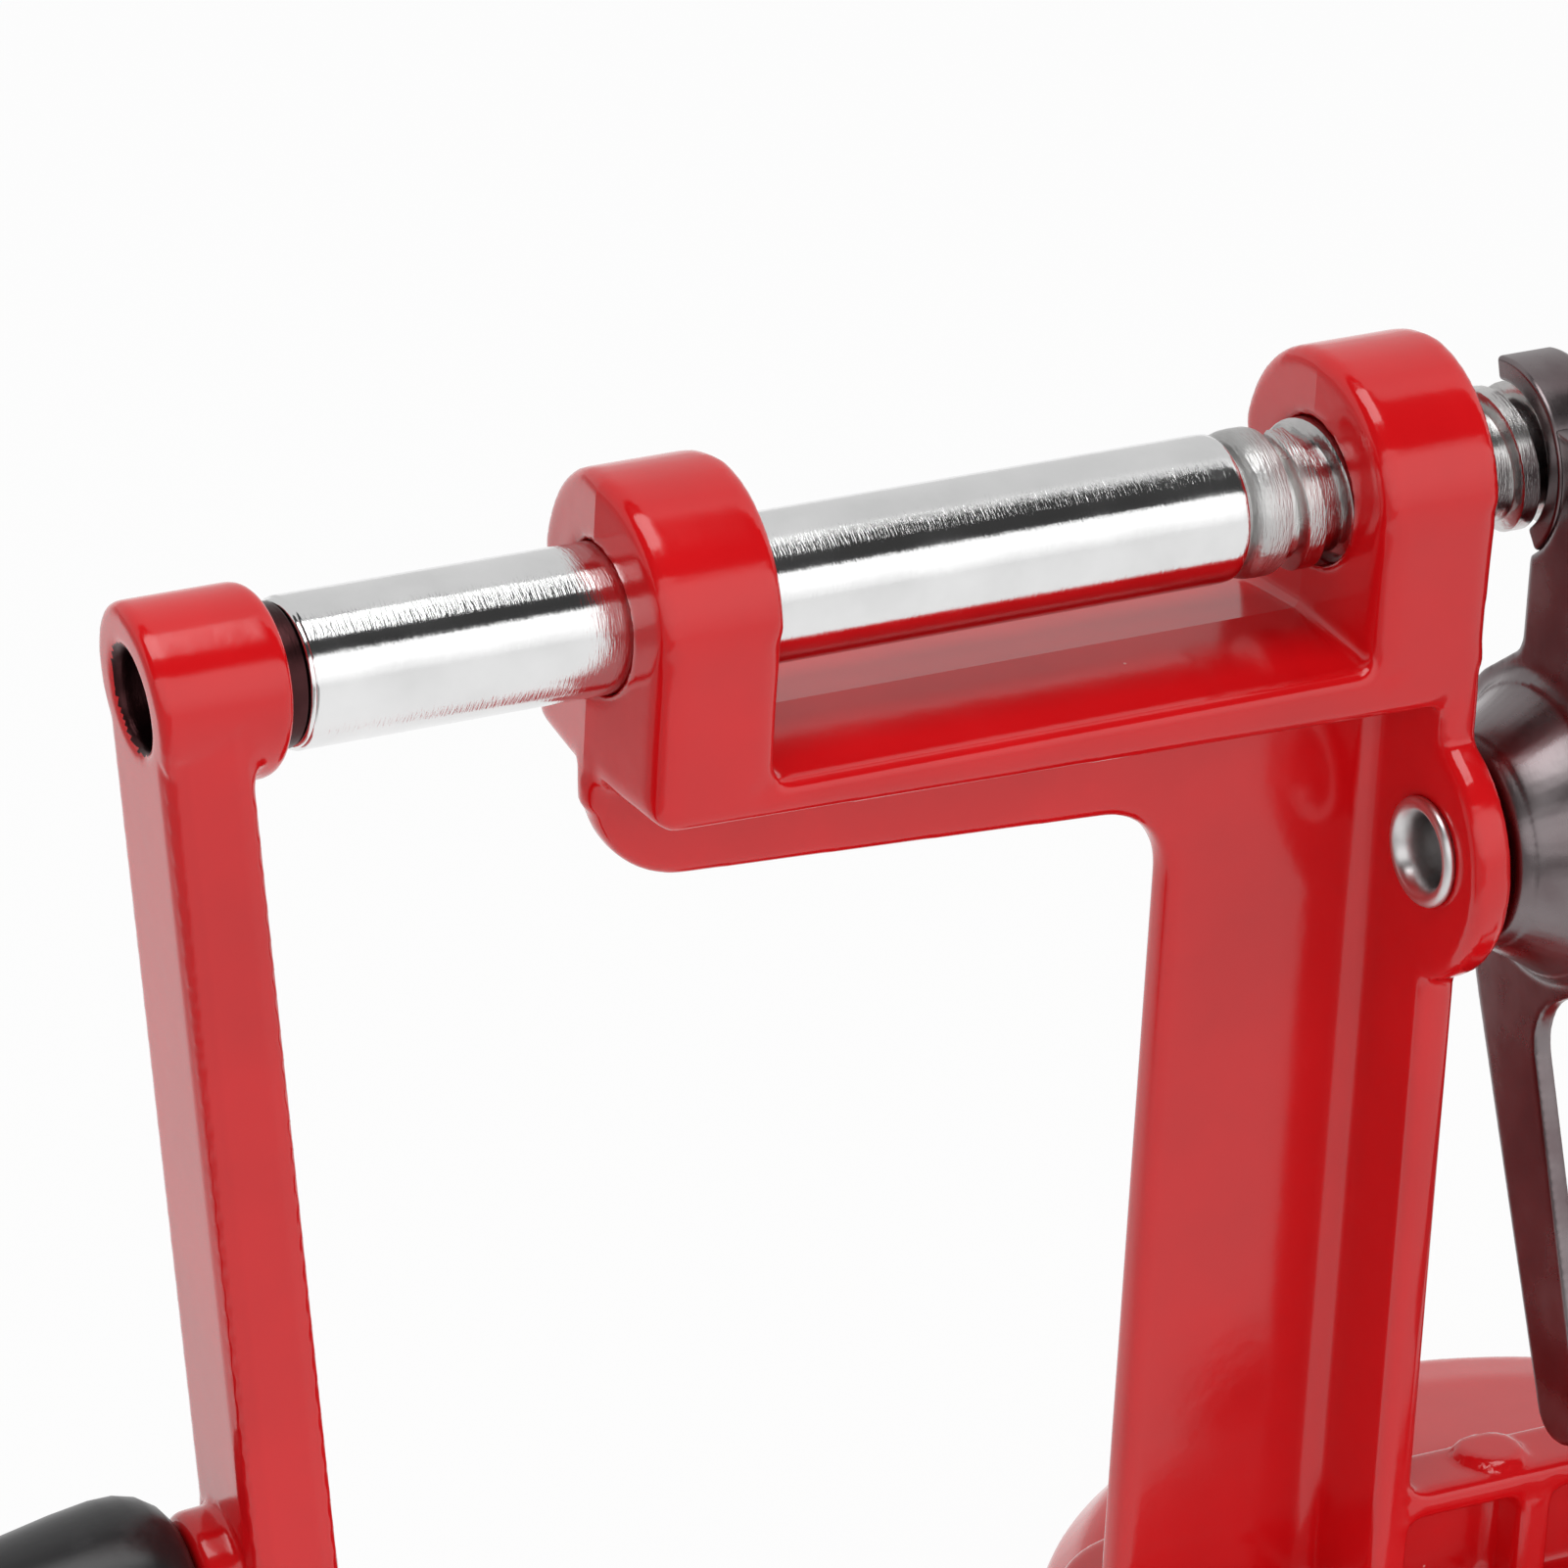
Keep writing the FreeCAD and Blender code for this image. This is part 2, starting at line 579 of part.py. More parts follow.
def grip_axle():
    """Steel axle riveted in the crank, with a head sunk in the grip's end."""
    end = -grip_collar_len - side_gap - grip_len
    pin = rod(end + 1, 0, -crank_radius, axle_r, arm_thick - end - 1)
    head = rod(end, 0, -crank_radius, axle_head_r, axle_head_len)
    peen = rod(arm_thick, 0, -crank_radius, axle_r + 1.2, 1.0)
    return crank_local(fuse(pin, head, peen))


# ---- potato fork ----
prong_places = [(prong_circle_r * math.cos(math.radians(90 + 120 * i)),
                 shaft_height + prong_circle_r * math.sin(math.radians(90 + 120 * i))) for i in range(3)]


def fork_prongs():
    return Part.makeCompound([revolve_x([(fork_plate_x, 0), (fork_plate_x, prong_r),
                                         (prong_end_x - prong_tip, prong_r), (prong_end_x, 0)], y, z)
                              for y, z in prong_places])


def fork_set_screw():
    middle = fork_x0 + fork_collar_len / 2
    return rod(middle, 0, shaft_height + fork_spigot_r + 0.05, fork_screw_r,
               fork_collar_r - fork_spigot_r - 0.45, V(0, 0, 1))


def fork_hub():
    """Collar and round plate that hold the three prongs."""
    plate_x1 = fork_plate_x + fork_plate_len
    hub = revolve_x([(fork_x0, 0), (fork_x0, fork_collar_r - 1), (fork_x0 + 1, fork_collar_r),
                     (fork_plate_x, fork_collar_r), (fork_plate_x, fork_plate_r),
                     (plate_x1 - 1, fork_plate_r), (plate_x1, fork_plate_r - 1), (plate_x1, 0)],
                    0, shaft_height)
    hub = hub.cut(rod(fork_x0 - 1, 0, shaft_height, fork_spigot_r, fork_spigot_len + 1))
    hub = hub.cut(rod(fork_x0 + fork_collar_len / 2, 0, shaft_height + 1, fork_screw_r, fork_collar_r,
                      V(0, 0, 1)))
    for y, z in prong_places:
        hub = hub.cut(rod(fork_plate_x - 1, y, z, prong_r, fork_plate_len + 2))
    return hub


# ---- blade side ----
def blade_rail():
    """Bar lapped behind the spine that carries the blade post."""
    rail = plate_xz([(rail_x0, rail_z0, 0), (post_foot_x1, rail_z0, 5), (post_foot_x1, rail_z1, 0),
                     (rail_x0, rail_z1, 4)], spine_y1, rail_back)
    groove = box(foot_end_x + 6, post_foot_x0 - 6, spine_y1 - 1, spine_y1 + 2, rail_z0 + 2.5, rail_z1 - 2.5)
    rail = rail.cut(groove)
    for x in rail_screw_places:
        rail = rail.cut(rod(x, spine_y1 - 1, (rail_z0 + rail_z1) / 2, rail_screw_r, 9, V(0, 1, 0)))
    return rail.cut(rod(knob_x, knob_y, rail_z0 - 1, rail_screw_r, rail_height + 2, V(0, 0, 1)))


def rail_screws():
    solids = []
    z = (rail_z0 + rail_z1) / 2
    for x in rail_screw_places:
        head = rod(x, rail_back, z, screw_head_r, screw_head_len, V(0, 1, 0))
        shank = rod(x, rail_thread_y, z, rail_screw_r, rail_back - rail_thread_y + 1, V(0, 1, 0))
        solids.append(fuse(head, shank))
    return Part.makeCompound(solids)


def blade_post():
    """Upright with a flat foot and a gusset behind it."""
    foot = plate_xy([(post_foot_x0, -post_half, 3), (post_foot_x1, -post_half, 3),
                     (post_foot_x1, post_half, 3), (post_foot_x0, post_half, 3)], rail_z1, rail_z1 + 5)
    upright = plate_yz([(-post_half, rail_z1, 0), (post_half, rail_z1, 0), (post_half - 1, post_top, 3),
                        (-post_half + 1, post_top, 3)], post_x, post_x + post_thick)
    gusset = plate_xz([(post_x + post_thick - 1, rail_z1 + 1, 0), (post_foot_x1 - 1, rail_z1 + 1, 0),
                       (post_foot_x1 - 1, rail_z1 + 6, 0),
                       (post_x + post_thick - 1, rail_z1 + 26, 0)], -2, 2)
    post = fuse(foot, upright, gusset)
    post = post.cut(rod(knob_x, knob_y, rail_z1 - 1, rail_screw_r, 7, V(0, 0, 1)))
    for z in blade_screw_z:
        post = post.cut(rod(post_x - 1, 0, z, blade_screw_r, post_thick + 2))
    return post


def rail_knob():
    """Thumbscrew that clamps the blade post to the rail."""
    low = rail_z0 - 8.0
    head = rod(knob_x, knob_y, low, knob_r, 8, V(0, 0, 1))
    for i in range(8):
        notch = rod(knob_r + 1.2, 0, low - 1, 2.0, 10, V(0, 0, 1))
        notch.rotate(V(0, 0, 0), V(0, 0, 1), 45 * i)
        notch.translate(V(knob_x, knob_y, 0))
        head = head.cut(notch)
    return fuse(head, rod(knob_x, knob_y, rail_z0 - 1, rail_screw_r, rail_height + 5, V(0, 0, 1)))


def spiral_blade():
    """Strip blade with a bevelled edge and an eye for the uncut core at the shaft axis."""
    half = blade_width / 2
    low = blade_screw_z[0] - 6
    strip = box(blade_x, post_x, -half, half, low, shaft_height)
    blade = fuse(strip, rod(blade_x, 0, shaft_height, blade_eye_r, blade_thick))
    edge_low = post_top + 4
    wedge = Part.Face(Part.makePolygon([V(blade_x - 0.01, -half - 1, edge_low),
                                        V(blade_x - 0.01, -half + blade_bevel, edge_low),
                                        V(post_x - 0.15, -half, edge_low),
                                        V(post_x - 0.15, -half - 1, edge_low),
                                        V(blade_x - 0.01, -half - 1, edge_low)]))
    blade = blade.cut(wedge.extrude(V(0, 0, shaft_height - blade_eye_r / 2 - edge_low)))
    blade = blade.cut(rod(blade_x - 1, 0, shaft_height, core_r, blade_thick + 2))
    for z in blade_screw_z:
        blade = blade.cut(rod(blade_x - 1, 0, z, blade_screw_r, blade_thick + 2))
    return blade


def blade_screws():
    solids = []
    for z in blade_screw_z:
        head = revolve_x([(blade_x - 1.6, 0), (blade_x - 1.6, 2.0), (blade_x - 0.9, 2.9), (blade_x, 2.9),
                          (blade_x, 0)], 0, z)
        solids.append(fuse(head, rod(blade_x - 0.5, 0, z, blade_screw_r, post_thick + blade_thick + 0.5)))
    return Part.makeCompound(solids)


nodes = {
    "frame_casting": frame_casting(),
    "base_housing": base_housing(),
    "base_screws": base_screws(),
    "suction_cup": suction_cup(),
    "suction_stem": suction_stem(),
    "cam_shaft": cam_shaft(),
    "suction_lever": suction_lever(),
    "cam_screw": cam_screw(),
    "release_lever": release_lever(),
    "half_nut": half_nut(),
    "pivot_rivet": pivot_rivet(),
    "pivot_washer": pivot_washer(),
    "lever_spring": lever_spring(),
    "feed_shaft": feed_shaft(),
    "thrust_washer": thrust_washer(),
    "crank_arm": crank_arm(),
    "crank_pin": crank_pin(),
    "grip_axle": grip_axle(),
    "handle_grip": handle_grip(),
    "fork_hub": fork_hub(),
    "fork_prongs": fork_prongs(),
    "fork_set_screw": fork_set_screw(),
    "blade_rail": blade_rail(),
    "rail_screws": rail_screws(),
    "blade_post": blade_post(),
    "rail_knob": rail_knob(),
    "spiral_blade": spiral_blade(),
    "blade_screws": blade_screws(),
}

os.makedirs("parts", exist_ok=True)
for name, shape in nodes.items():
    shape.exportStep("parts/" + name + ".step")
    room = shape.BoundBox
    print(name, len(shape.Solids), "valid" if shape.isValid() else "INVALID", round(shape.Volume, 1),
          [round(v, 1) for v in (room.XMin, room.XMax, room.YMin, room.YMax, room.ZMin, room.ZMax)])
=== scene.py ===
import bpy
import bmesh
import math
from mathutils import Matrix, Vector
from mathutils.bvhtree import BVHTree


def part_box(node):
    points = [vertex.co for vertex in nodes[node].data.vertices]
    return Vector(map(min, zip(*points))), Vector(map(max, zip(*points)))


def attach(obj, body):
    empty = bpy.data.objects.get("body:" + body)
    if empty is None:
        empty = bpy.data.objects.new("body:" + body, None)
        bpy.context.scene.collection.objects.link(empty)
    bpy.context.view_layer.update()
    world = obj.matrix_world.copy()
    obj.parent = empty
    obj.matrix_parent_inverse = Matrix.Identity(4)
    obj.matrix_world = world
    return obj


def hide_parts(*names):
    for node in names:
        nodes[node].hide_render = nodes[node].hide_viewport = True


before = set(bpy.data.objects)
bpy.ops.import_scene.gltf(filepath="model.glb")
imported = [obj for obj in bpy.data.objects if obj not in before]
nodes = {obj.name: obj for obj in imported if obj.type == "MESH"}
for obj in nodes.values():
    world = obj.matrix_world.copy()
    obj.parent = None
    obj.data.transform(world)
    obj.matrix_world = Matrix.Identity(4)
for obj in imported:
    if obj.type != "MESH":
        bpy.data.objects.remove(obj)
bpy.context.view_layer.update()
print("frame loaded")

mm = 0.001
alongX = Vector((1, 0, 0))
alongZ = Vector((0, 0, 1))
axisHeight = 136.0  # feed shaft above the table
pivotY, pivotZ = -10.2, 107.4  # release lever's pivot


# mesh helpers; everything is in millimetres until toMesh
def cadCopy(node):
    bm = bmesh.new()
    bm.from_mesh(nodes[node].data)
    bmesh.ops.scale(bm, vec=(1 / mm,) * 3, verts=bm.verts)
    bmesh.ops.remove_doubles(bm, verts=bm.verts, dist=0.002)
    return bm


def spunForm(points, steps=64, place=Matrix(), closed=False):
    # points are (along, radius); the profile turns about local X, then goes to its place
    bm = bmesh.new()
    verts = [bm.verts.new((x, 0, r)) for x, r in points]
    edges = [bm.edges.new(pair) for pair in zip(verts, verts[1:])]
    if closed:
        edges.append(bm.edges.new((verts[-1], verts[0])))
    bmesh.ops.spin(bm, geom=verts + edges, cent=(0, 0, 0), axis=alongX, angle=2 * math.pi,
                   steps=steps, use_merge=True)
    bmesh.ops.remove_doubles(bm, verts=bm.verts, dist=0.0005)
    bmesh.ops.transform(bm, matrix=place, verts=bm.verts)
    return bm


def joinForms(*forms):
    whole = forms[0]
    for bm in forms[1:]:
        mesh = bpy.data.meshes.new("form")
        bm.to_mesh(mesh)
        bm.free()
        whole.from_mesh(mesh)
        bpy.data.meshes.remove(mesh)
    return whole


def placeAt(x, y, z, axis=alongX):
    turn = alongX.rotation_difference(Vector(axis)).to_matrix().to_4x4()
    return Matrix.Translation((x, y, z)) @ turn


def joinFlat(bm, degrees):
    bmesh.ops.dissolve_limit(bm, angle_limit=math.radians(degrees), verts=bm.verts,
                             edges=bm.edges, use_dissolve_boundaries=False, delimit=set())


def softCopy(node, width, segments=2):
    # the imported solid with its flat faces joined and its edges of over 35 degrees eased
    bm = cadCopy(node)
    joinFlat(bm, 1.5)
    sharp = math.radians(35)
    edges = [e for e in bm.edges if e.is_manifold and e.calc_face_angle(0) > sharp]
    bmesh.ops.bevel(bm, geom=edges, offset=width, offset_type="OFFSET", affect="EDGES",
                    segments=segments, profile=0.5, material=-1, clamp_overlap=True)
    return bm


def toMesh(bm, name, sharp=32):
    bmesh.ops.recalc_face_normals(bm, faces=bm.faces)
    bmesh.ops.scale(bm, vec=(mm,) * 3, verts=bm.verts)
    for f in bm.faces:
        f.smooth = True
    for e in bm.edges:
        e.smooth = e.calc_face_angle(0) < math.radians(sharp) and not e.seam
    mesh = bpy.data.meshes.new(name)
    bm.to_mesh(mesh)
    bm.free()
    return mesh


def finishPiece(name, bm, material, body, replaced, sharp=32, flat=True):
    piece = bpy.data.objects.new(name, toMesh(bm, name, sharp))
    bpy.context.scene.collection.objects.link(piece)
    piece.data.materials.append(material)
    if flat:  # flat faces keep their own shading next to narrow bevels
        piece.modifiers.new("normals", "WEIGHTED_NORMAL").keep_sharp = True
    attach(piece, body)
    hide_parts(*replaced)
    return piece


# cast shapes: one skin over the solids, with rounded edges, filled corners and true flat faces
castLook = {
    "joined": 1,        # degrees between faces that count as one
    "smallest": 0.4,    # area of a face that a point may lie on
    "alike": 0.8,       # normals with a larger product belong to one face
    "search": 0.2,      # how far past the radius faces are looked for
    "cornerRadius": 0.4,  # in a hollow corner
    "hollow": 0.03,     # faces that rise this far over each other make a hollow corner
    "mixed": 0.015,     # and this far over only some of them, a mixed one
    "furthest": 0.5,    # longest move of a point
    "tries": 3,
    "last": 2,          # closing rounds of smoothing
}


def smoothOnce(bm, verts):
    bmesh.ops.smooth_vert(bm, verts=verts, factor=0.5, use_axis_x=True, use_axis_y=True,
                          use_axis_z=True)


def voxelSkin(bm, voxel):
    rough = bpy.data.objects.new("casting", toMesh(bm, "casting"))
    bpy.context.scene.collection.objects.link(rough)
    remesh = rough.modifiers.new("skin", "REMESH")
    remesh.mode = "VOXEL"
    remesh.voxel_size = voxel * mm
    remesh.adaptivity = 0
    bpy.context.view_layer.update()
    solved = rough.evaluated_get(bpy.context.evaluated_depsgraph_get())
    skin = bpy.data.meshes.new_from_object(solved)
    bpy.data.objects.remove(rough)
    skinned = bmesh.new()
    skinned.from_mesh(skin)
    bmesh.ops.scale(skinned, vec=(1 / mm,) * 3, verts=skinned.verts)
    return skinned


def castForm(bm, voxel, rounds, radiusAt, ease=3):
    # radiusAt gives the edge radius at a point; points that fit no rounding are eased
    joinFlat(bm, castLook["joined"])
    tree = BVHTree.FromBMesh(bm)
    areas = [f.calc_area() for f in bm.faces]
    bmesh.ops.triangulate(bm, faces=bm.faces)
    skinned = voxelSkin(bm, voxel)
    for _ in range(rounds):
        smoothOnce(skinned, skinned.verts)
    loose = [v for v in skinned.verts if not roundTo(v, tree, areas, radiusAt(v.co))]
    for verts in [loose] * ease + [skinned.verts] * castLook["last"]:
        smoothOnce(skinned, verts)
    return skinned


def roundTo(vert, tree, areas, radius):
    # puts a point on the faces near it, or on the rounding of this radius between them
    planes = []
    hits = tree.find_nearest_range(vert.co, radius + castLook["search"])
    for spot, normal, index, _ in sorted(hits, key=lambda hit: hit[3]):
        fresh = all(normal.dot(other) < castLook["alike"] for _, other in planes)
        if areas[index] > castLook["smallest"] and fresh:
            planes.append((spot, normal))
    if not planes:
        return False
    rises = [(a - b).dot(normal) for a, _ in planes for b, normal in planes if a is not b]
    hollow = len(planes) == 2 and min(rises) > castLook["hollow"]
    if not hollow and any(rise > castLook["mixed"] for rise in rises):
        return False
    side, radius = (-1, castLook["cornerRadius"]) if hollow else (1, radius)
    for _ in range(castLook["tries"]):
        reach = [max(0, side * (vert.co - spot).dot(normal) + radius) for spot, normal in planes]
        off = math.hypot(*reach) - radius
        if abs(off) > castLook["furthest"]:
            return False
        push = sum((normal * r for r, (_, normal) in zip(reach, planes)), Vector())
        vert.co -= push.normalized() * off * side
    return True


def ramp(value, start, stop):
    # smooth step from 0 at start to 1 at stop, in either direction
    t = min(1, max(0, (value - start) / (stop - start)))
    return t * t * (3 - 2 * t)


# shader helpers
def newGroup(name, inputs, outputs):
    group = bpy.data.node_groups.new(name, "ShaderNodeTree")
    for socket, value in inputs.items():
        made = group.interface.new_socket(name=socket, in_out="INPUT",
                                          socket_type="NodeSocketFloat")
        made.default_value = value
    for socket in outputs:
        group.interface.new_socket(name=socket, in_out="OUTPUT", socket_type="NodeSocketFloat")
    return group, group.nodes.new("NodeGroupInput"), group.nodes.new("NodeGroupOutput")


def feed(tree, socket, value):
    # a number is set, and an output is linked
    if isinstance(value, (int, float)):
        socket.default_value = value
    else:
        tree.links.new(value, socket)


def addNode(tree, kind, links=(), **inputs):
    node = tree.nodes.new(kind)
    for name, value in inputs.items():
        node.inputs[name].default_value = value
    for name, source in links:
        tree.links.new(source, node.inputs[name])
    return node


def maths(tree, operation, first, second, clamp=False):
    node = tree.nodes.new("ShaderNodeMath")
    node.operation = operation
    node.use_clamp = clamp
    feed(tree, node.inputs[0], first)
    feed(tree, node.inputs[1], second)
    return node.outputs[0]


def mixValues(tree, factor, first, second):
    node = tree.nodes.new("ShaderNodeMix")
    for index, value in ((0, factor), (2, first), (3, second)):
        feed(tree, node.inputs[index], value)
    return node.outputs[0]


def mapRange(tree, value, start, stop, low, high):
    node = addNode(tree, "ShaderNodeMapRange", [("Value", value)])
    for key, setting in zip(("From Min", "From Max", "To Min", "To Max"),
                            (start, stop, low, high)):
        node.inputs[key].default_value = setting
    return node.outputs[0]


def objectPlace(tree):
    return addNode(tree, "ShaderNodeTexCoord").outputs["Object"]


def makeEnamelGroup():
    # orange peel, a few dust specks and slow colour drift of sprayed enamel
    group, inn, out = newGroup("enamelSkin", {"Peel": 1.0, "Specks": 1.0},
                               ("Drift", "Speck", "Roughness", "Height"))
    place = objectPlace(group)
    slow = addNode(group, "ShaderNodeTexNoise", [("Vector", place)], Scale=60, Detail=3)
    peel = addNode(group, "ShaderNodeTexNoise", [("Vector", place)], Scale=420, Detail=2)
    fine = addNode(group, "ShaderNodeTexNoise", [("Vector", place)], Scale=2600)
    cells = addNode(group, "ShaderNodeTexVoronoi", [("Vector", place)], Scale=420)
    # only some cells hold a speck, and each speck is small
    near = maths(group, "LESS_THAN", cells.outputs["Distance"], 0.055)
    pick = addNode(group, "ShaderNodeSeparateColor", [("Color", cells.outputs["Color"])])
    some = maths(group, "GREATER_THAN", pick.outputs[0], 0.9)
    held = maths(group, "MULTIPLY", near, some)
    speck = maths(group, "MULTIPLY", held, inn.outputs["Specks"])
    wave = maths(group, "MULTIPLY", peel.outputs["Fac"], inn.outputs["Peel"])
    grain = maths(group, "MULTIPLY", fine.outputs["Fac"], 0.05)
    raised = maths(group, "MULTIPLY", speck, 0.6)
    height = maths(group, "ADD", maths(group, "ADD", wave, grain), raised)
    rough = maths(group, "ADD", maths(group, "MULTIPLY", slow.outputs["Fac"], 0.1), 0.09)
    for name, source in (("Drift", slow.outputs["Fac"]), ("Speck", speck),
                         ("Roughness", rough), ("Height", height)):
        group.links.new(source, out.inputs[name])
    return group


def makeTurnedGroup():
    # turning lines round a bar, long scratches and smudges
    group, inn, out = newGroup("turnedSteel", {"Lines": 1.0, "Smudge": 0.2, "Base Roughness": 0.15},
                               ("Mask", "Roughness", "Height"))
    place = objectPlace(group)
    around = addNode(group, "ShaderNodeMapping", [("Vector", place)], Scale=(6000, 850, 850))
    lines = addNode(group, "ShaderNodeTexNoise", [("Vector", around.outputs[0])],
                    Scale=1, Detail=4)
    lengthways = addNode(group, "ShaderNodeMapping", [("Vector", place)], Scale=(60, 1500, 1500))
    scratch = addNode(group, "ShaderNodeTexNoise", [("Vector", lengthways.outputs[0])],
                      Scale=1, Detail=2)
    pits = addNode(group, "ShaderNodeTexNoise", [("Vector", place)], Scale=1300, Detail=3)
    blotch = addNode(group, "ShaderNodeTexNoise", [("Vector", place)], Scale=140, Detail=4)
    height = maths(group, "MULTIPLY", lines.outputs["Fac"], inn.outputs["Lines"])
    for layer, share in ((scratch, 0.25), (pits, 0.35)):
        height = maths(group, "ADD", height, maths(group, "MULTIPLY", layer.outputs["Fac"], share))
    smudge = maths(group, "SUBTRACT", blotch.outputs["Fac"], 0.45, clamp=True)
    smudge = maths(group, "MULTIPLY", smudge, inn.outputs["Smudge"])
    rough = maths(group, "ADD", inn.outputs["Base Roughness"], smudge)
    rough = maths(group, "ADD", rough, maths(group, "MULTIPLY", lines.outputs["Fac"], 0.04))
    for name, source in (("Mask", blotch.outputs["Fac"]), ("Roughness", rough),
                         ("Height", height)):
        group.links.new(source, out.inputs[name])
    return group


def makeMouldedGroup():
    # fine grain and light scuffs of moulded rubber and plastic
    group, inn, out = newGroup("mouldedGrain", {"Grain Size": 1500.0, "Base Roughness": 0.4},
                               ("Scuff", "Roughness", "Height"))
    place = objectPlace(group)
    grain = addNode(group, "ShaderNodeTexNoise",
                    [("Vector", place), ("Scale", inn.outputs["Grain Size"])], Detail=3)
    scuff = addNode(group, "ShaderNodeTexNoise", [("Vector", place)],
                    Scale=180, Detail=6, Roughness=0.7)
    mask = maths(group, "SUBTRACT", scuff.outputs["Fac"], 0.55, clamp=True)
    mask = maths(group, "MULTIPLY", mask, 4, clamp=True)
    rough = maths(group, "ADD", inn.outputs["Base Roughness"],
                  maths(group, "MULTIPLY", mask, 0.12))
    for name, source in (("Scuff", mask), ("Roughness", rough), ("Height", grain.outputs["Fac"])):
        group.links.new(source, out.inputs[name])
    return group


enamelSkin = makeEnamelGroup()
turnedSteel = makeTurnedGroup()
mouldedGrain = makeMouldedGroup()


# materials
def newMaterial(name, group, values, bumpDepth):
    material = bpy.data.materials.new(name)
    material.use_nodes = True
    tree = material.node_tree
    shader = tree.nodes["Principled BSDF"]
    skin = tree.nodes.new("ShaderNodeGroup")
    skin.node_tree = group
    for key, value in values.items():
        skin.inputs[key].default_value = value
    bump = addNode(tree, "ShaderNodeBump", [("Height", skin.outputs["Height"])],
                   Distance=bumpDepth * mm, Strength=1.0)
    tree.links.new(bump.outputs[0], shader.inputs["Normal"])
    tree.links.new(skin.outputs["Roughness"], shader.inputs["Roughness"])
    return material, tree, shader, skin


def blendColours(tree, mask, low, high, fromLow=0.3, fromHigh=0.7):
    blend = tree.nodes.new("ShaderNodeValToRGB")
    for stop, position, colour in zip(blend.color_ramp.elements, (fromLow, fromHigh), (low, high)):
        stop.position = position
        stop.color = (*colour, 1)
    tree.links.new(mask, blend.inputs[0])
    return blend.outputs[0]


redLook = {
    "deep": (0.58, 0.004, 0.006), "bright": (0.68, 0.006, 0.009), "speck": (0.8, 0.3, 0.28),
    "peel": 0.35, "specks": 1.0, "depth": 0.05, "gloss": 1.55,
}


def makeRedEnamel(name, look):
    material, tree, shader, skin = newMaterial(
        name, enamelSkin, {"Peel": look["peel"], "Specks": look["specks"]}, look["depth"])
    colour = blendColours(tree, skin.outputs["Drift"], look["deep"], look["bright"])
    mix = tree.nodes.new("ShaderNodeMix")
    mix.data_type = "RGBA"
    tree.links.new(skin.outputs["Speck"], mix.inputs["Factor"])
    tree.links.new(colour, mix.inputs[6])
    mix.inputs[7].default_value = (*look["speck"], 1)
    tree.links.new(mix.outputs[2], shader.inputs["Base Color"])
    shader.inputs["IOR"].default_value = look["gloss"]
    return material


def makeSteel(name, low, high, lines, smudge, rough, depth):
    material, tree, shader, skin = newMaterial(
        name, turnedSteel, {"Lines": lines, "Smudge": smudge, "Base Roughness": rough}, depth)
    colour = blendColours(tree, skin.outputs["Mask"], low, high)
    tree.links.new(colour, shader.inputs["Base Color"])
    shader.inputs["Metallic"].default_value = 1
    return material


def makeMoulded(name, low, high, grain, rough, depth):
    material, tree, shader, skin = newMaterial(
        name, mouldedGrain, {"Grain Size": grain, "Base Roughness": rough}, depth)
    colour = blendColours(tree, skin.outputs["Scuff"], low, high, 0, 1)
    tree.links.new(colour, shader.inputs["Base Color"])
    return material


# two colours, turning lines, smudges, roughness, bump depth
steelLooks = {
    "polishedBar": ((0.72, 0.72, 0.72), (0.82, 0.82, 0.82), 1.0, 0.25, 0.07, 0.02),
    "cutThread": ((0.42, 0.41, 0.41), (0.68, 0.67, 0.66), 1.4, 0.5, 0.16, 0.03),
    "sandedNeck": ((0.36, 0.355, 0.35), (0.66, 0.655, 0.65), 0.8, 0.7, 0.28, 0.12),
    # dark nickel metal whose reddish tint is a painted reflection of the red frame, used on the
    # release lever and the half nut
    "darkNickelRedReflection": ((0.15, 0.115, 0.12), (0.25, 0.22, 0.225), 0.15, 0.5, 0.22, 0.02),
    # this near-black maroon metal is painted shade and painted red reflection, used inside the
    # crank's bore and on the thrust washer in the gap by the hub
    "paintedShadeMaroon": ((0.03, 0.01, 0.011), (0.08, 0.03, 0.032), 0.5, 0.5, 0.3, 0.05),
    "satinNickel": ((0.56, 0.55, 0.55), (0.72, 0.71, 0.71), 0.15, 0.5, 0.3, 0.015),
    "zincPlate": ((0.5, 0.5, 0.5), (0.66, 0.66, 0.67), 0.5, 0.5, 0.24, 0.02),
    "groundBlade": ((0.6, 0.6, 0.61), (0.74, 0.74, 0.75), 0.3, 0.4, 0.16, 0.01),
}
# two colours, grain size, roughness, bump depth
mouldedLooks = {
    "blackGrip": ((0.012, 0.012, 0.013), (0.03, 0.03, 0.032), 1500, 0.33, 0.012),
    "cupRubber": ((0.016, 0.016, 0.017), (0.035, 0.034, 0.034), 700, 0.5, 0.02),
}
redEnamel = makeRedEnamel("redEnamel", redLook)
steel = {name: makeSteel(name, *look) for name, look in steelLooks.items()}
moulded = {name: makeMoulded(name, *look) for name, look in mouldedLooks.items()}
print("materials made")


# small turned and stamped parts
def finishSmall(name, node, metal, body, edge):
    finishPiece(name, softCopy(node, edge), steel[metal], body, [node])


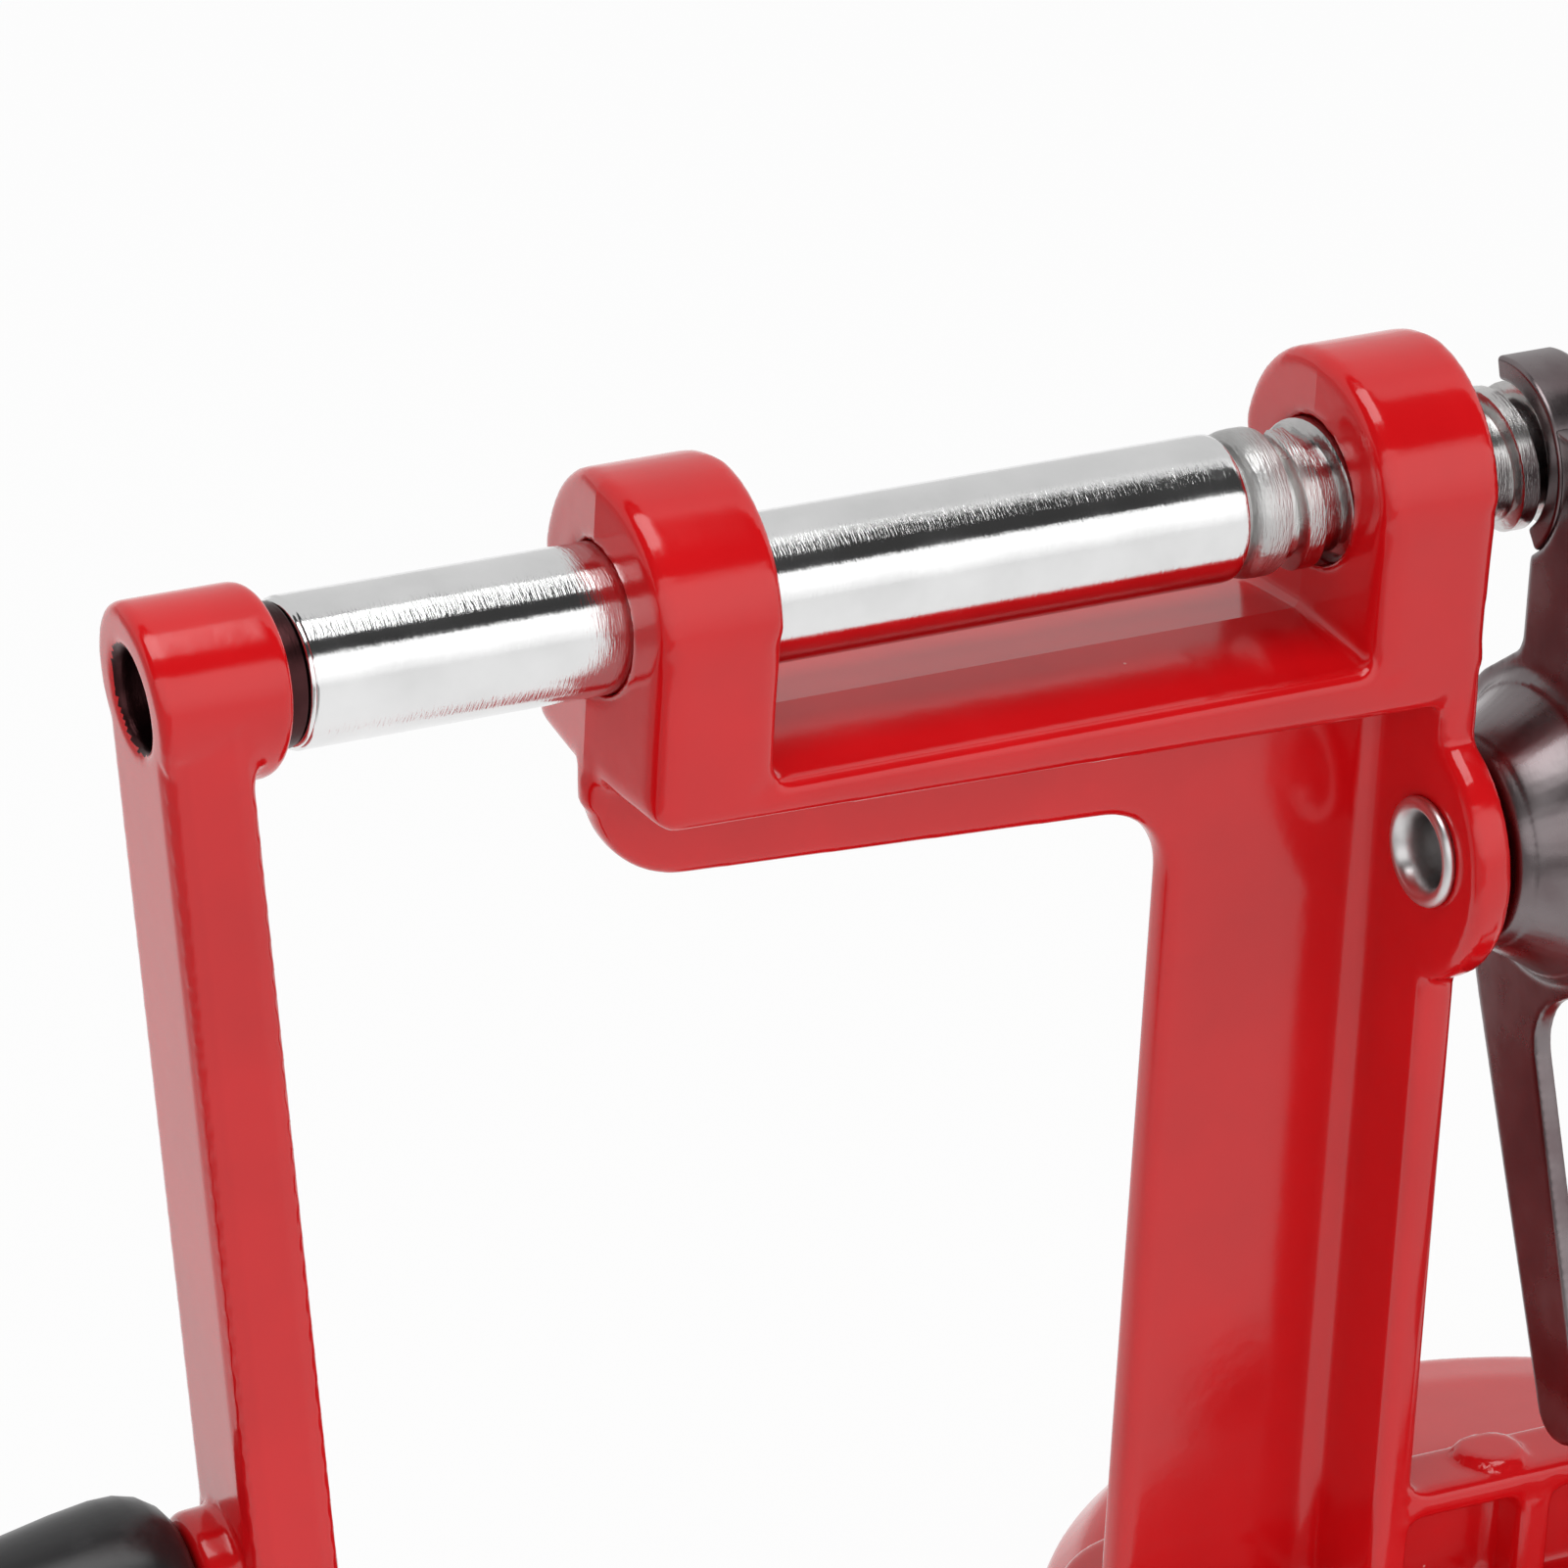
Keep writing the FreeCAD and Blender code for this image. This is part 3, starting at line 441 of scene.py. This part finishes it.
# frame casting
frameLook = {
    "voxel": 0.52, "rounds": 4, "radius": 1.05,
    "half": 11.3,       # half the casting's width
    "slabTop": 124.6, "slabEnds": (-90.6, -36.2),
    "crest": 1.3,       # rise of the slab's middle line
    "crestFoot": (-1.5, -0.4), "crestHead": (7, 3),  # it fades over these heights from slabTop
    "ears": ((-95.7, 5.3), (-31.1, 5.3)),  # middle and half thickness along the shaft
    "draft": 0.5,       # lean of the ears' faces
    "fade": 2.5,        # it ends this far past the ear
    "rearFoot": 119, "frontFoot": 1.2, "footRise": 1.5,  # lower end of the ears' draft
    "rearFace": -95, "rearTurn": 1.3,  # the far half of the rear face turns away
    "swell": 0.3, "swellFrom": 9, "swellFoot": (-6, 3),  # rounder heads of the ears
    "swellReach": 1.2,  # in half thicknesses of the ear
    "boreEdge": 0.4, "boreZone": 8.2, "rivetZone": 4.8,  # bore edges are crisper
    "bore": 6.07, "boreEnd": -25,  # room for the shaft
    "snap": 0.12, "partingTop": 146.6,
}


def draftShift(co):
    # the mould parts on the middle plane: slab top and ear faces fall away from it both ways
    look = frameLook
    top = look["slabTop"]
    rise = max(0.0, 1 - abs(co.y) / look["half"])
    shift = Vector((0, 0, 0))
    if look["slabEnds"][0] < co.x < look["slabEnds"][1]:
        foot, head = ([top + d for d in look[key]] for key in ("crestFoot", "crestHead"))
        shift.z = look["crest"] * rise * ramp(co.z, *foot) * ramp(co.z, *head)
    for middle, half in look["ears"]:
        u = (co.x - middle) / half
        rear = middle < look["rearFace"]
        reach = 1 if abs(u) < 1 else max(0, 1 - (abs(u) - 1) * half / look["fade"])
        foot = look["rearFoot"] if co.x < look["rearFace"] else top - look["frontFoot"]
        risen = ramp(co.z, foot, foot + look["footRise"])
        shift.x += look["draft"] * rise * max(-1, min(1, u)) * reach * risen
        if rear and co.y > 0 and u < 0:
            shift.x += look["rearTurn"] * co.y / look["half"] * min(1, -u) * reach * risen
        around = Vector((0, co.y, co.z - axisHeight))
        low, high = (axisHeight + d for d in look["swellFoot"])
        onHead = co.z > low and around.length > look["swellFrom"]
        if onHead and abs(u) < look["swellReach"]:
            shift += around.normalized() * look["swell"] * ramp(co.z, low, high)
    return shift


def frameRadius(co):
    inBore = math.hypot(co.y, co.z - axisHeight) < frameLook["boreZone"]
    inRivet = math.hypot(co.y - pivotY, co.z - pivotZ) < frameLook["rivetZone"]
    return frameLook["boreEdge"] if inBore or inRivet else frameLook["radius"]


def makeFrame():
    skinned = castForm(cadCopy("frame_casting"), frameLook["voxel"], frameLook["rounds"],
                       frameRadius)
    snap, bore = frameLook["snap"], frameLook["bore"]
    bmesh.ops.bisect_plane(skinned, geom=skinned.verts[:] + skinned.edges[:] + skinned.faces[:],
                           dist=snap, plane_co=(0, 0, 0), plane_no=(0, 1, 0))
    for v in skinned.verts:
        if abs(v.co.y) < snap:
            v.co.y = 0
        v.co += draftShift(v.co)
        off = math.hypot(v.co.y, v.co.z - axisHeight)
        if off < bore and v.co.x < frameLook["boreEnd"]:
            v.co.y *= bore / off
            v.co.z = axisHeight + (v.co.z - axisHeight) * bore / off
    for e in skinned.edges:  # the parting line of the mould stays sharp
        a, b = (v.co for v in e.verts)
        onLine = abs(a.y) < 0.001 and abs(b.y) < 0.001
        e.seam = onLine and frameLook["slabTop"] - 1 < a.z < frameLook["partingTop"]
    print("frame triangles", sum(len(f.verts) - 2 for f in skinned.faces))
    finishPiece("frameCasting", skinned, redEnamel, "frame", ["frame_casting"], 60, False)


makeFrame()
print("frame cast")

# other castings: node, body, voxel, rounds of smoothing, edge radius
castings = {
    "crankArm": ("crank_arm", "shaft", 0.36, 4, 1.1),
    "baseDome": ("base_housing", "frame", 0.8, 5, 0.9),
    "bladeRail": ("blade_rail", "frame", 0.5, 4, 0.8),
    "bladePost": ("blade_post", "frame", 0.5, 4, 0.8),
    "suctionLever": ("suction_lever", "suction_lever", 0.4, 4, 0.8),
}
hubBore = 5 * mm  # faces this near the shaft's axis are inside the crank's hub
for name, (node, body, voxel, rounds, radius) in castings.items():
    form = castForm(cadCopy(node), voxel, rounds, lambda co: radius, ease=10)
    piece = finishPiece(name, form, redEnamel, body, [node], 60, False)
    if name == "crankArm":  # painted shade: the faces inside the hub's bore get a near-black maroon metal that stands in for the shade of the deep hole
        piece.data.materials.append(steel["paintedShadeMaroon"])
        for f in piece.data.polygons:
            inward = Vector((0, -f.center.y, axisHeight * mm - f.center.z))
            if inward.length < hubBore and inward.normalized().dot(f.normal) > 0.5:
                f.material_index = 1
print("castings made")

# feed shaft
barLook = {
    "radius": 6.0, "shoulder": -128.2, "smoothEnd": -45.5, "tang": -136.7, "tangRadius": 3.8,
    "journal": (-130.2, 4.5),
    "root": 5.0, "pitch": 4.0, "threadFrom": -41.75, "threadTo": 51.0, "steps": 40,
    "spigot": (61.1, 3.98), "neckEnd": 3.6,
}
# run-out of the thread beside the smooth bar: (along, radius)
barrel = [(-0.35, 5.92), (-0.05, 5.7), (0.12, 5.4), (0.25, 5.0), (0.35, 4.88), (0.5, 4.9),
          (0.65, 5.2), (0.85, 5.6), (1.15, 5.86), (1.6, 5.98), (2.3, 6.02), (3.3, 6.0),
          (3.65, 5.9), (3.8, 5.3), (3.95, 5.0)]


def makeBar():
    r, left, right = barLook["radius"], barLook["shoulder"], barLook["smoothEnd"]
    tang, tangR = barLook["tang"], barLook["tangRadius"]
    journal, journalR = barLook["journal"]
    spigot, spigotR = barLook["spigot"]
    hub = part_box("fork_hub")[0].x / mm
    profile = [(tang, 0), (tang, tangR - 0.3), (tang + 0.3, tangR), (journal, tangR),
               (journal, journalR), (left, journalR), (left, 5.55), (left + 0.1, 5.72),
               (left + 0.3, 5.82), (left + 0.38, 5.82), (left + 0.5, 5.95), (left + 0.65, r),
               (right - 1.3, r), (right - 0.8, r - 0.02)]
    profile += [(right + x, h) for x, h in barrel]
    profile += [(hub, barLook["root"]), (hub, spigotR), (spigot, spigotR), (spigot, 0)]
    return spunForm(profile, 96, placeAt(0, 0, axisHeight))


def makeThread():
    # one ridge wound along the bar
    start, pitch, r = barLook["threadFrom"], barLook["pitch"], barLook["radius"]
    section = [(0, 4.6), (0.05, 5.05), (0.33, 5.8), (0.5, r), (1.95, r), (2.12, 5.8),
               (2.4, 5.05), (2.45, 4.6)]
    ridge = bmesh.new()
    face = ridge.faces.new([ridge.verts.new((start + x, 0, h)) for x, h in section])
    turns = (barLook["threadTo"] - start - 2.5) / pitch
    steps = int(turns * barLook["steps"])
    bmesh.ops.spin(ridge, geom=[face], cent=(0, 0, 0), axis=alongX,
                   dvec=(pitch * turns / steps, 0, 0), angle=2 * math.pi * turns, steps=steps,
                   use_duplicate=False)
    bmesh.ops.recalc_face_normals(ridge, faces=ridge.faces)
    bmesh.ops.transform(ridge, matrix=placeAt(0, 0, axisHeight), verts=ridge.verts)
    return ridge


def makeShaft():
    piece = finishPiece("feedShaft", joinForms(makeBar(), makeThread()), steel["polishedBar"],
                        "shaft", ["feed_shaft"], 38)
    piece.data.materials.append(steel["cutThread"])
    piece.data.materials.append(steel["sandedNeck"])
    for f in piece.data.polygons:
        past = f.center.x / mm - barLook["smoothEnd"]
        if past > -0.1:
            onNeck = past < barLook["neckEnd"] and len(f.vertices) == 4
            f.material_index = 2 if onNeck else 1


makeShaft()
print("shaft turned")

# crank grip
gripLook = {
    "length": 62.0, "gap": 3.7, "crank": 78.7, "lean": 7.8, "twist": 6.0, "outerFace": -140.6,
    "bore": 2.6, "pocket": (2.3, 4.9), "axle": 2.5, "head": 4.6, "rivetEnd": 8.4,
}
gripStart = -gripLook["gap"]
gripEnd = gripStart - gripLook["length"]


def gripPlace():
    # from the grip's axis to its place on the leaning crank
    turn = Matrix.Rotation(math.radians(-gripLook["lean"]), 4, "Y") @ Matrix.Rotation(
        math.radians(-gripLook["twist"]), 4, "Z")
    hub = Matrix.Translation((gripLook["outerFace"], 0, axisHeight)) @ turn
    return hub @ placeAt(0, 0, -gripLook["crank"])


def makeGrip():
    start, end = gripStart, gripEnd
    bore, (pocket, pocketR) = gripLook["bore"], gripLook["pocket"]
    profile = [(start, bore), (start, 5.2), (start - 0.15, 6.0), (start - 0.9, 7.1),
               (start - 2.2, 8.1), (start - 3.8, 8.62), (start - 5.6, 8.72), (start - 9, 8.45),
               (start - 14, 7.8), (start - 20, 7.15), (start - 27, 6.75), (start - 34, 6.7),
               (start - 41, 7.05), (start - 48, 7.7), (start - 54, 8.1), (start - 58, 8.0),
               (start - 60.3, 7.4), (start - 61.6, 6.4), (end, 5.4), (end, 5.0),
               (end + 0.1, pocketR), (end + pocket, pocketR), (end + pocket, bore)]
    bm = spunForm(profile, 72, gripPlace(), closed=True)
    finishPiece("handleGrip", bm, moulded["blackGrip"], "grip", ["handle_grip"], 50)


def makeAxle():
    end, tail = gripEnd, gripLook["rivetEnd"]
    r, head = gripLook["axle"], gripLook["head"]
    profile = [(end, 0), (end, head - 0.7), (end + 0.5, head - 0.1), (end + 1.5, head),
               (end + 2, head), (end + 2, r), (tail - 1, r), (tail - 1, 3.6), (tail - 0.5, 3.5),
               (tail - 0.1, 2.6), (tail, 0)]
    bm = spunForm(profile, 48, gripPlace())
    finishPiece("gripAxle", bm, steel["zincPlate"], "shaft", ["grip_axle"])


makeGrip()
makeAxle()
print("grip made")

# release lever, half nut and their pivot
leverLook = {
    "voxel": 0.3, "rounds": 5, "radius": 0.35, "nutEdge": 0.7,
    "panDepth": 7.2, "panFoot": 12.2, "panWall": 3.6, "panCurve": (13.6, 7.2),
    "springRadius": 4.9, "wire": 0.55, "spring": (-23.2, -17.1), "coils": 4.5, "steps": 40,
}


def makeLever():
    # the pan's wall leaves the plate and meets the floor in one long curve
    bm = cadCopy("release_lever")
    long = [e for e in bm.edges if e.calc_length() > 2.5]
    bmesh.ops.subdivide_edges(bm, edges=long, cuts=3, use_grid_fill=True)
    skinned = castForm(bm, leverLook["voxel"], leverLook["rounds"],
                       lambda co: leverLook["radius"])
    for v in skinned.verts:
        out = math.hypot(v.co.y - pivotY, v.co.z - pivotZ)
        straight = min(1, max(0, (leverLook["panFoot"] - out) / leverLook["panWall"]))
        v.co.x += leverLook["panDepth"] * (straight - ramp(out, *leverLook["panCurve"]))
    # the lever's dark metal carries a painted red reflection of the frame
    finishPiece("releaseLever", skinned, steel["darkNickelRedReflection"], "release_lever",
                ["release_lever"], 60, False)


def makeRivet():
    left, right = (corner.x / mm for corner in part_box("pivot_rivet"))
    rim = [(0.9, 3.7), (0.9, 4.3), (0.78, 4.52), (0.5, 4.6), (0.2, 4.46), (0.04, 4.15),
           (0.02, 3.9), (0.12, 3.65), (0.4, 3.4), (0.9, 3.15), (1.6, 2.95), (3.0, 2.85)]
    profile = [(left + x, r) for x, r in rim] + [(right - x, r) for x, r in reversed(rim)]
    bm = spunForm(profile, 64, placeAt(0, pivotY, pivotZ), closed=True)
    finishPiece("pivotRivet", bm, steel["satinNickel"], "frame", ["pivot_rivet"], 50)


def makeSpring():
    start, stop = leverLook["spring"]
    turns = leverLook["coils"]
    steps = int(turns * leverLook["steps"])
    bm = bmesh.new()
    made = bmesh.ops.create_circle(bm, cap_ends=True, radius=leverLook["wire"], segments=12)
    # stand the wire's section beside the axis, then wind it
    bmesh.ops.rotate(bm, verts=made["verts"], matrix=Matrix.Rotation(math.pi / 2, 3, "X"))
    bmesh.ops.translate(bm, verts=made["verts"], vec=(start, 0, leverLook["springRadius"]))
    bmesh.ops.spin(bm, geom=bm.faces[:], cent=(0, 0, 0), axis=alongX,
                   dvec=((stop - start) / steps, 0, 0), angle=2 * math.pi * turns, steps=steps,
                   use_duplicate=False)
    bmesh.ops.translate(bm, verts=bm.verts, vec=(0, pivotY, pivotZ))
    finishPiece("leverSpring", bm, steel["zincPlate"], "frame", ["lever_spring"], 60)


makeLever()
# the half nut's dark metal carries the same painted red reflection
finishPiece("halfNut", softCopy("half_nut", leverLook["nutEdge"], 4), steel["darkNickelRedReflection"],
            "release_lever", ["half_nut"], 40)
makeRivet()
makeSpring()
finishSmall("pivotWasher", "pivot_washer", "zincPlate", "frame", 0.15)
# painted shade and painted red reflection: the steel washer in the shaded gap by the hub gets the
# near-black maroon metal
finishSmall("thrustWasher", "thrust_washer", "paintedShadeMaroon", "feed_carriage", 0.2)
print("lever made")

# potato fork
forkLook = {"collar": 8.5, "plate": 14.0, "plateThick": 3.5, "bore": 4.0, "eye": 5.5,
            "prong": 1.4, "circle": 10.2, "tip": 7.0}


def makeForkHub():
    start, end = (corner.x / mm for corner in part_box("fork_hub"))
    face = end - forkLook["plateThick"]
    r, plate, bore, eye = (forkLook[key] for key in ("collar", "plate", "bore", "eye"))
    profile = [(start, bore), (start, r - 1.1), (start + 0.3, r - 0.6), (start + 1.1, r),
               (face - 1.6, r), (face - 0.9, r + 0.2), (face - 0.25, r + 0.8), (face, r + 1.6),
               (face, plate - 0.5), (face + 0.5, plate), (end - 0.8, plate),
               (end - 0.25, plate - 0.3), (end, plate - 0.9), (end, eye), (end - 0.3, eye - 0.3),
               (end - 0.3, 0.001), (face - 0.05, 0.001), (face - 0.05, bore)]
    bm = spunForm(profile, 80, placeAt(0, 0, axisHeight), closed=True)
    finishPiece("forkHub", bm, steel["polishedBar"], "shaft", ["fork_hub"], 38)


def makeProngs():
    start, end = (corner.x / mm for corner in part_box("fork_prongs"))
    r, circle = forkLook["prong"], forkLook["circle"]
    taper = end - forkLook["tip"]
    profile = [(start, 0), (start, r), (taper, r), (taper + 1.2, r - 0.12), (end - 1.2, 0.3),
               (end - 0.2, 0.08), (end, 0)]
    prongs = []
    for i in range(3):
        angle = math.radians(90 + 120 * i)
        y, z = circle * math.cos(angle), circle * math.sin(angle)
        prongs.append(spunForm(profile, 24, placeAt(0, y, axisHeight + z)))
    finishPiece("forkProngs", joinForms(*prongs), steel["groundBlade"], "shaft",
                ["fork_prongs"], 50)


makeForkHub()
makeProngs()
finishSmall("forkSetScrew", "fork_set_screw", "zincPlate", "shaft", 0.2)
print("fork made")

# blade
finishPiece("spiralBlade", cadCopy("spiral_blade"), steel["groundBlade"], "frame",
            ["spiral_blade"], 25)


# screws: node, body, direction of the shank, sizes as in screwForm, seats
screwSets = {
    "baseScrews": ("base_screws", "frame", (0, 0, 1), (3.6, 2.4, 12.0, 2.0),
                   ((-20.0, 0, 23.5), (18.0, 0, 23.5))),
    "railScrews": ("rail_screws", "frame", (0, -1, 0), (3.6, 2.4, 9.5, 2.0),
                   ((19.0, 2.5, 41.8), (27.0, 2.5, 41.8))),
    "bladeScrews": ("blade_screws", "frame", (1, 0, 0), (2.9, 1.6, 6.8, 1.6),
                    ((117.6, 0, 80.0), (117.6, 0, 88.0))),
    "camScrew": ("cam_screw", "suction_lever", (0, 1, 0), (5.3, 2.2, 8.0, 1.5),
                 ((0, -56.8, 18.5),)),
}


def screwForm(place, r, height, shank, shankR):
    # pan head with a round socket, seat at x = 0, head towards -x
    profile = [(shank, 0), (shank, shankR - 0.3), (shank - 0.3, shankR), (0, shankR), (0, r),
               (-0.35 * height, r), (-0.75 * height, 0.88 * r), (-height, 0.6 * r),
               (-height, 0.5 * r), (-0.4 * height, 0.44 * r), (-0.4 * height, 0)]
    return spunForm(profile, 30, place)


for name, (node, body, axis, sizes, seats) in screwSets.items():
    forms = [screwForm(placeAt(*seat, axis), *sizes) for seat in seats]
    finishPiece(name, joinForms(*forms), steel["zincPlate"], body, [node])

finishSmall("railKnob", "rail_knob", "zincPlate", "frame", 0.35)
finishSmall("camShaft", "cam_shaft", "zincPlate", "suction_lever", 0.2)
finishSmall("crankPin", "crank_pin", "zincPlate", "shaft", 0.15)
print("screws made")

# suction cup and its stem
stemLook = {"edge": 0.2, "end": 26.2, "slim": 0.82, "cut": 0.7}
cupLook = {"lip": 41.5, "bore": 5.0, "seat": 1, "steps": 96}


def makeStem():
    # its upper end is blunt, clear of the dome's pocket when lifted
    bm = softCopy("suction_stem", stemLook["edge"])
    for v in bm.verts:
        if v.co.z > stemLook["end"]:
            v.co = Vector((v.co.x * stemLook["slim"], v.co.y * stemLook["slim"],
                           v.co.z - stemLook["cut"]))
    finishPiece("suctionStem", bm, steel["zincPlate"], "suction_stem", ["suction_stem"])


def makeCup():
    low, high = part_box("suction_cup")
    z0, z1, r = low.z / mm, high.z / mm, high.x / mm
    bore, seat = cupLook["bore"], cupLook["seat"]
    profile = [(z0 + 5.6, 0), (z0 + 5.3, 8), (z0 + 4.9, 14), (z0 + 3.8, 22), (z0 + 2.6, 30),
               (z0 + 1.2, 36), (z0 + 0.2, 40), (z0, cupLook["lip"]), (z0 + 0.05, r - 0.6),
               (z0 + 0.5, r - 0.05), (z0 + 1.2, r - 0.05), (z0 + 1.8, r - 0.8),
               (z0 + 3.4, r - 5), (z0 + 4.8, r - 10), (z0 + 6.4, 26), (z0 + 7.8, 18),
               (z0 + 8.3, 12), (z0 + 8.6, 9.6), (z0 + 9.2, 9), (z1 - 0.3, 8.9), (z1, 8.5),
               (z1, bore + 0.02), (z1 - seat, bore), (z1 - seat, 0)]
    bm = spunForm(profile, cupLook["steps"], placeAt(0, 0, 0, alongZ))
    finishPiece("suctionCup", bm, moulded["cupRubber"], "suction_stem", ["suction_cup"], 50)


makeStem()
makeCup()
print("base parts made")

# stage
studio = {
    "tent": 1.42, "low": 1.0, "behind": 0.75,  # strength high up, at the horizon and behind
    "lowSpan": (0, 0.3), "behindSpan": (-0.3, 0.3),
    "gap": 0.05,        # strength of the dark gap overhead in front
    "gapSpan": (0.2, 0.62), "gapFrom": (-0.45, 0.03), "gapTo": 0.8, "gapSoft": (0.03, 0.04),
    "boxRadiance": 3.6, "boxSize": (0.965, 0.58), "boxAt": (-0.163, -0.12, 1.15),
    "floorSize": 9, "floorColour": (0.86, 0.86, 0.86, 1), "floorRoughness": 0.7,
    "floorGlow": 0.93,  # share of the lit sheet that the camera and mirrors see
    "sheetEdge": (-0.28, -0.2), "sheetDark": 0.4,
}
cameraLook = {
    "turn": 30.0, "height": 25.2, "roll": 3.2, "distance": 860, "aim": (-31, 0, axisHeight),
    "pixels": 1601, "focalPixels": 11000, "across": 599.5, "up": 310.5, "sensor": 36,
    "clip": (0.05, 60),
}


def makeFloor():
    bm = bmesh.new()
    bmesh.ops.create_grid(bm, x_segments=4, y_segments=4, size=studio["floorSize"])
    mesh = bpy.data.meshes.new("floor")
    bm.to_mesh(mesh)
    bm.free()
    floor = bpy.data.objects.new("floor", mesh)
    bpy.context.scene.collection.objects.link(floor)
    material = bpy.data.materials.new("paleFloor")
    material.use_nodes = True
    tree = material.node_tree
    shader = tree.nodes["Principled BSDF"]
    shader.inputs["Base Color"].default_value = studio["floorColour"]
    shader.inputs["Roughness"].default_value = studio["floorRoughness"]
    glow = addNode(tree, "ShaderNodeEmission")
    path = tree.nodes.new("ShaderNodeLightPath")
    camera, glossy = path.outputs["Is Camera Ray"], path.outputs["Is Glossy Ray"]
    seen = maths(tree, "ADD", camera, glossy, clamp=True)
    # mirrored in the part, the lit sheet ends on the left
    place = addNode(tree, "ShaderNodeSeparateXYZ", [("Vector", objectPlace(tree))])
    edge = mapRange(tree, place.outputs["X"], *studio["sheetEdge"], studio["sheetDark"], 1)
    tree.links.new(maths(tree, "MAXIMUM", edge, camera), glow.inputs["Strength"])
    mix = tree.nodes.new("ShaderNodeMixShader")
    tree.links.new(maths(tree, "MULTIPLY", seen, studio["floorGlow"]), mix.inputs[0])
    tree.links.new(shader.outputs[0], mix.inputs[1])
    tree.links.new(glow.outputs[0], mix.inputs[2])
    tree.links.new(mix.outputs[0], tree.nodes["Material Output"].inputs["Surface"])
    floor.data.materials.append(material)


def makeWorld():
    # a white tent, a little darker behind, with a long dark gap overhead in front
    world = bpy.data.worlds.new("tent")
    bpy.context.scene.world = world
    world.use_nodes = True
    tree = world.node_tree
    background = tree.nodes["Background"]
    background.inputs["Color"].default_value = (1, 1, 1, 1)
    sky = addNode(tree, "ShaderNodeTexCoord").outputs["Generated"]
    way = addNode(tree, "ShaderNodeSeparateXYZ", [("Vector", sky)]).outputs
    front = mapRange(tree, way["Z"], *studio["lowSpan"], studio["low"], studio["tent"])
    side = mapRange(tree, way["Y"], *studio["behindSpan"], 1, 0)
    tent = mixValues(tree, side, studio["behind"], front)
    tilt = maths(tree, "ARCTAN2", maths(tree, "MULTIPLY", way["Y"], -1), way["Z"])
    # the gap starts earlier to the left
    lean = maths(tree, "DIVIDE", way["X"], maths(tree, "MAXIMUM", way["Z"], 0.05))
    start = mapRange(tree, lean, *studio["gapSpan"], *studio["gapFrom"])
    nearSoft, farSoft = studio["gapSoft"]
    stop = studio["gapTo"]
    near = mapRange(tree, maths(tree, "SUBTRACT", tilt, start), -nearSoft, nearSoft, 0, 1)
    far = mapRange(tree, tilt, stop - farSoft, stop + farSoft, 1, 0)
    lit = mixValues(tree, maths(tree, "MULTIPLY", near, far), tent, studio["gap"])
    path = tree.nodes.new("ShaderNodeLightPath")
    seen = mixValues(tree, path.outputs["Is Camera Ray"], lit, 1)
    tree.links.new(seen, background.inputs["Strength"])


def makeLamp():
    lamp = bpy.data.lights.new("overheadBox", "AREA")
    lamp.shape = "RECTANGLE"
    lamp.size, lamp.size_y = studio["boxSize"]
    lamp.energy = studio["boxRadiance"] * math.pi * lamp.size * lamp.size_y
    box = bpy.data.objects.new("overheadBox", lamp)
    box.location = studio["boxAt"]
    bpy.context.scene.collection.objects.link(box)


def makeCamera():
    look = cameraLook
    turn, height, roll = (math.radians(look[key]) for key in ("turn", "height", "roll"))
    back = Vector((-math.sin(turn) * math.cos(height), -math.cos(turn) * math.cos(height),
                   math.sin(height)))
    right = (-back).cross(alongZ).normalized()
    up = right.cross(-back)
    rolledRight = right * math.cos(roll) + up * math.sin(roll)
    rolledUp = up * math.cos(roll) - right * math.sin(roll)
    # the aim point lies beside the picture's middle, by these shares of the distance
    across, rise = look["across"] / look["focalPixels"], look["up"] / look["focalPixels"]
    place = Vector(look["aim"]) - look["distance"] * (
        across * rolledRight + rise * rolledUp - back)
    lens = bpy.data.cameras.new("camera")
    lens.lens = look["focalPixels"] / look["pixels"] * look["sensor"]
    lens.sensor_width = look["sensor"]
    lens.clip_start, lens.clip_end = look["clip"]
    camera = bpy.data.objects.new("camera", lens)
    camera.matrix_world = Matrix((rolledRight, rolledUp, back)).transposed().to_4x4()
    camera.location = place * mm
    bpy.context.scene.collection.objects.link(camera)
    bpy.context.scene.camera = camera


makeFloor()
makeWorld()
makeLamp()
makeCamera()
bpy.context.scene.view_settings.view_transform = "Standard"
print("stage made")
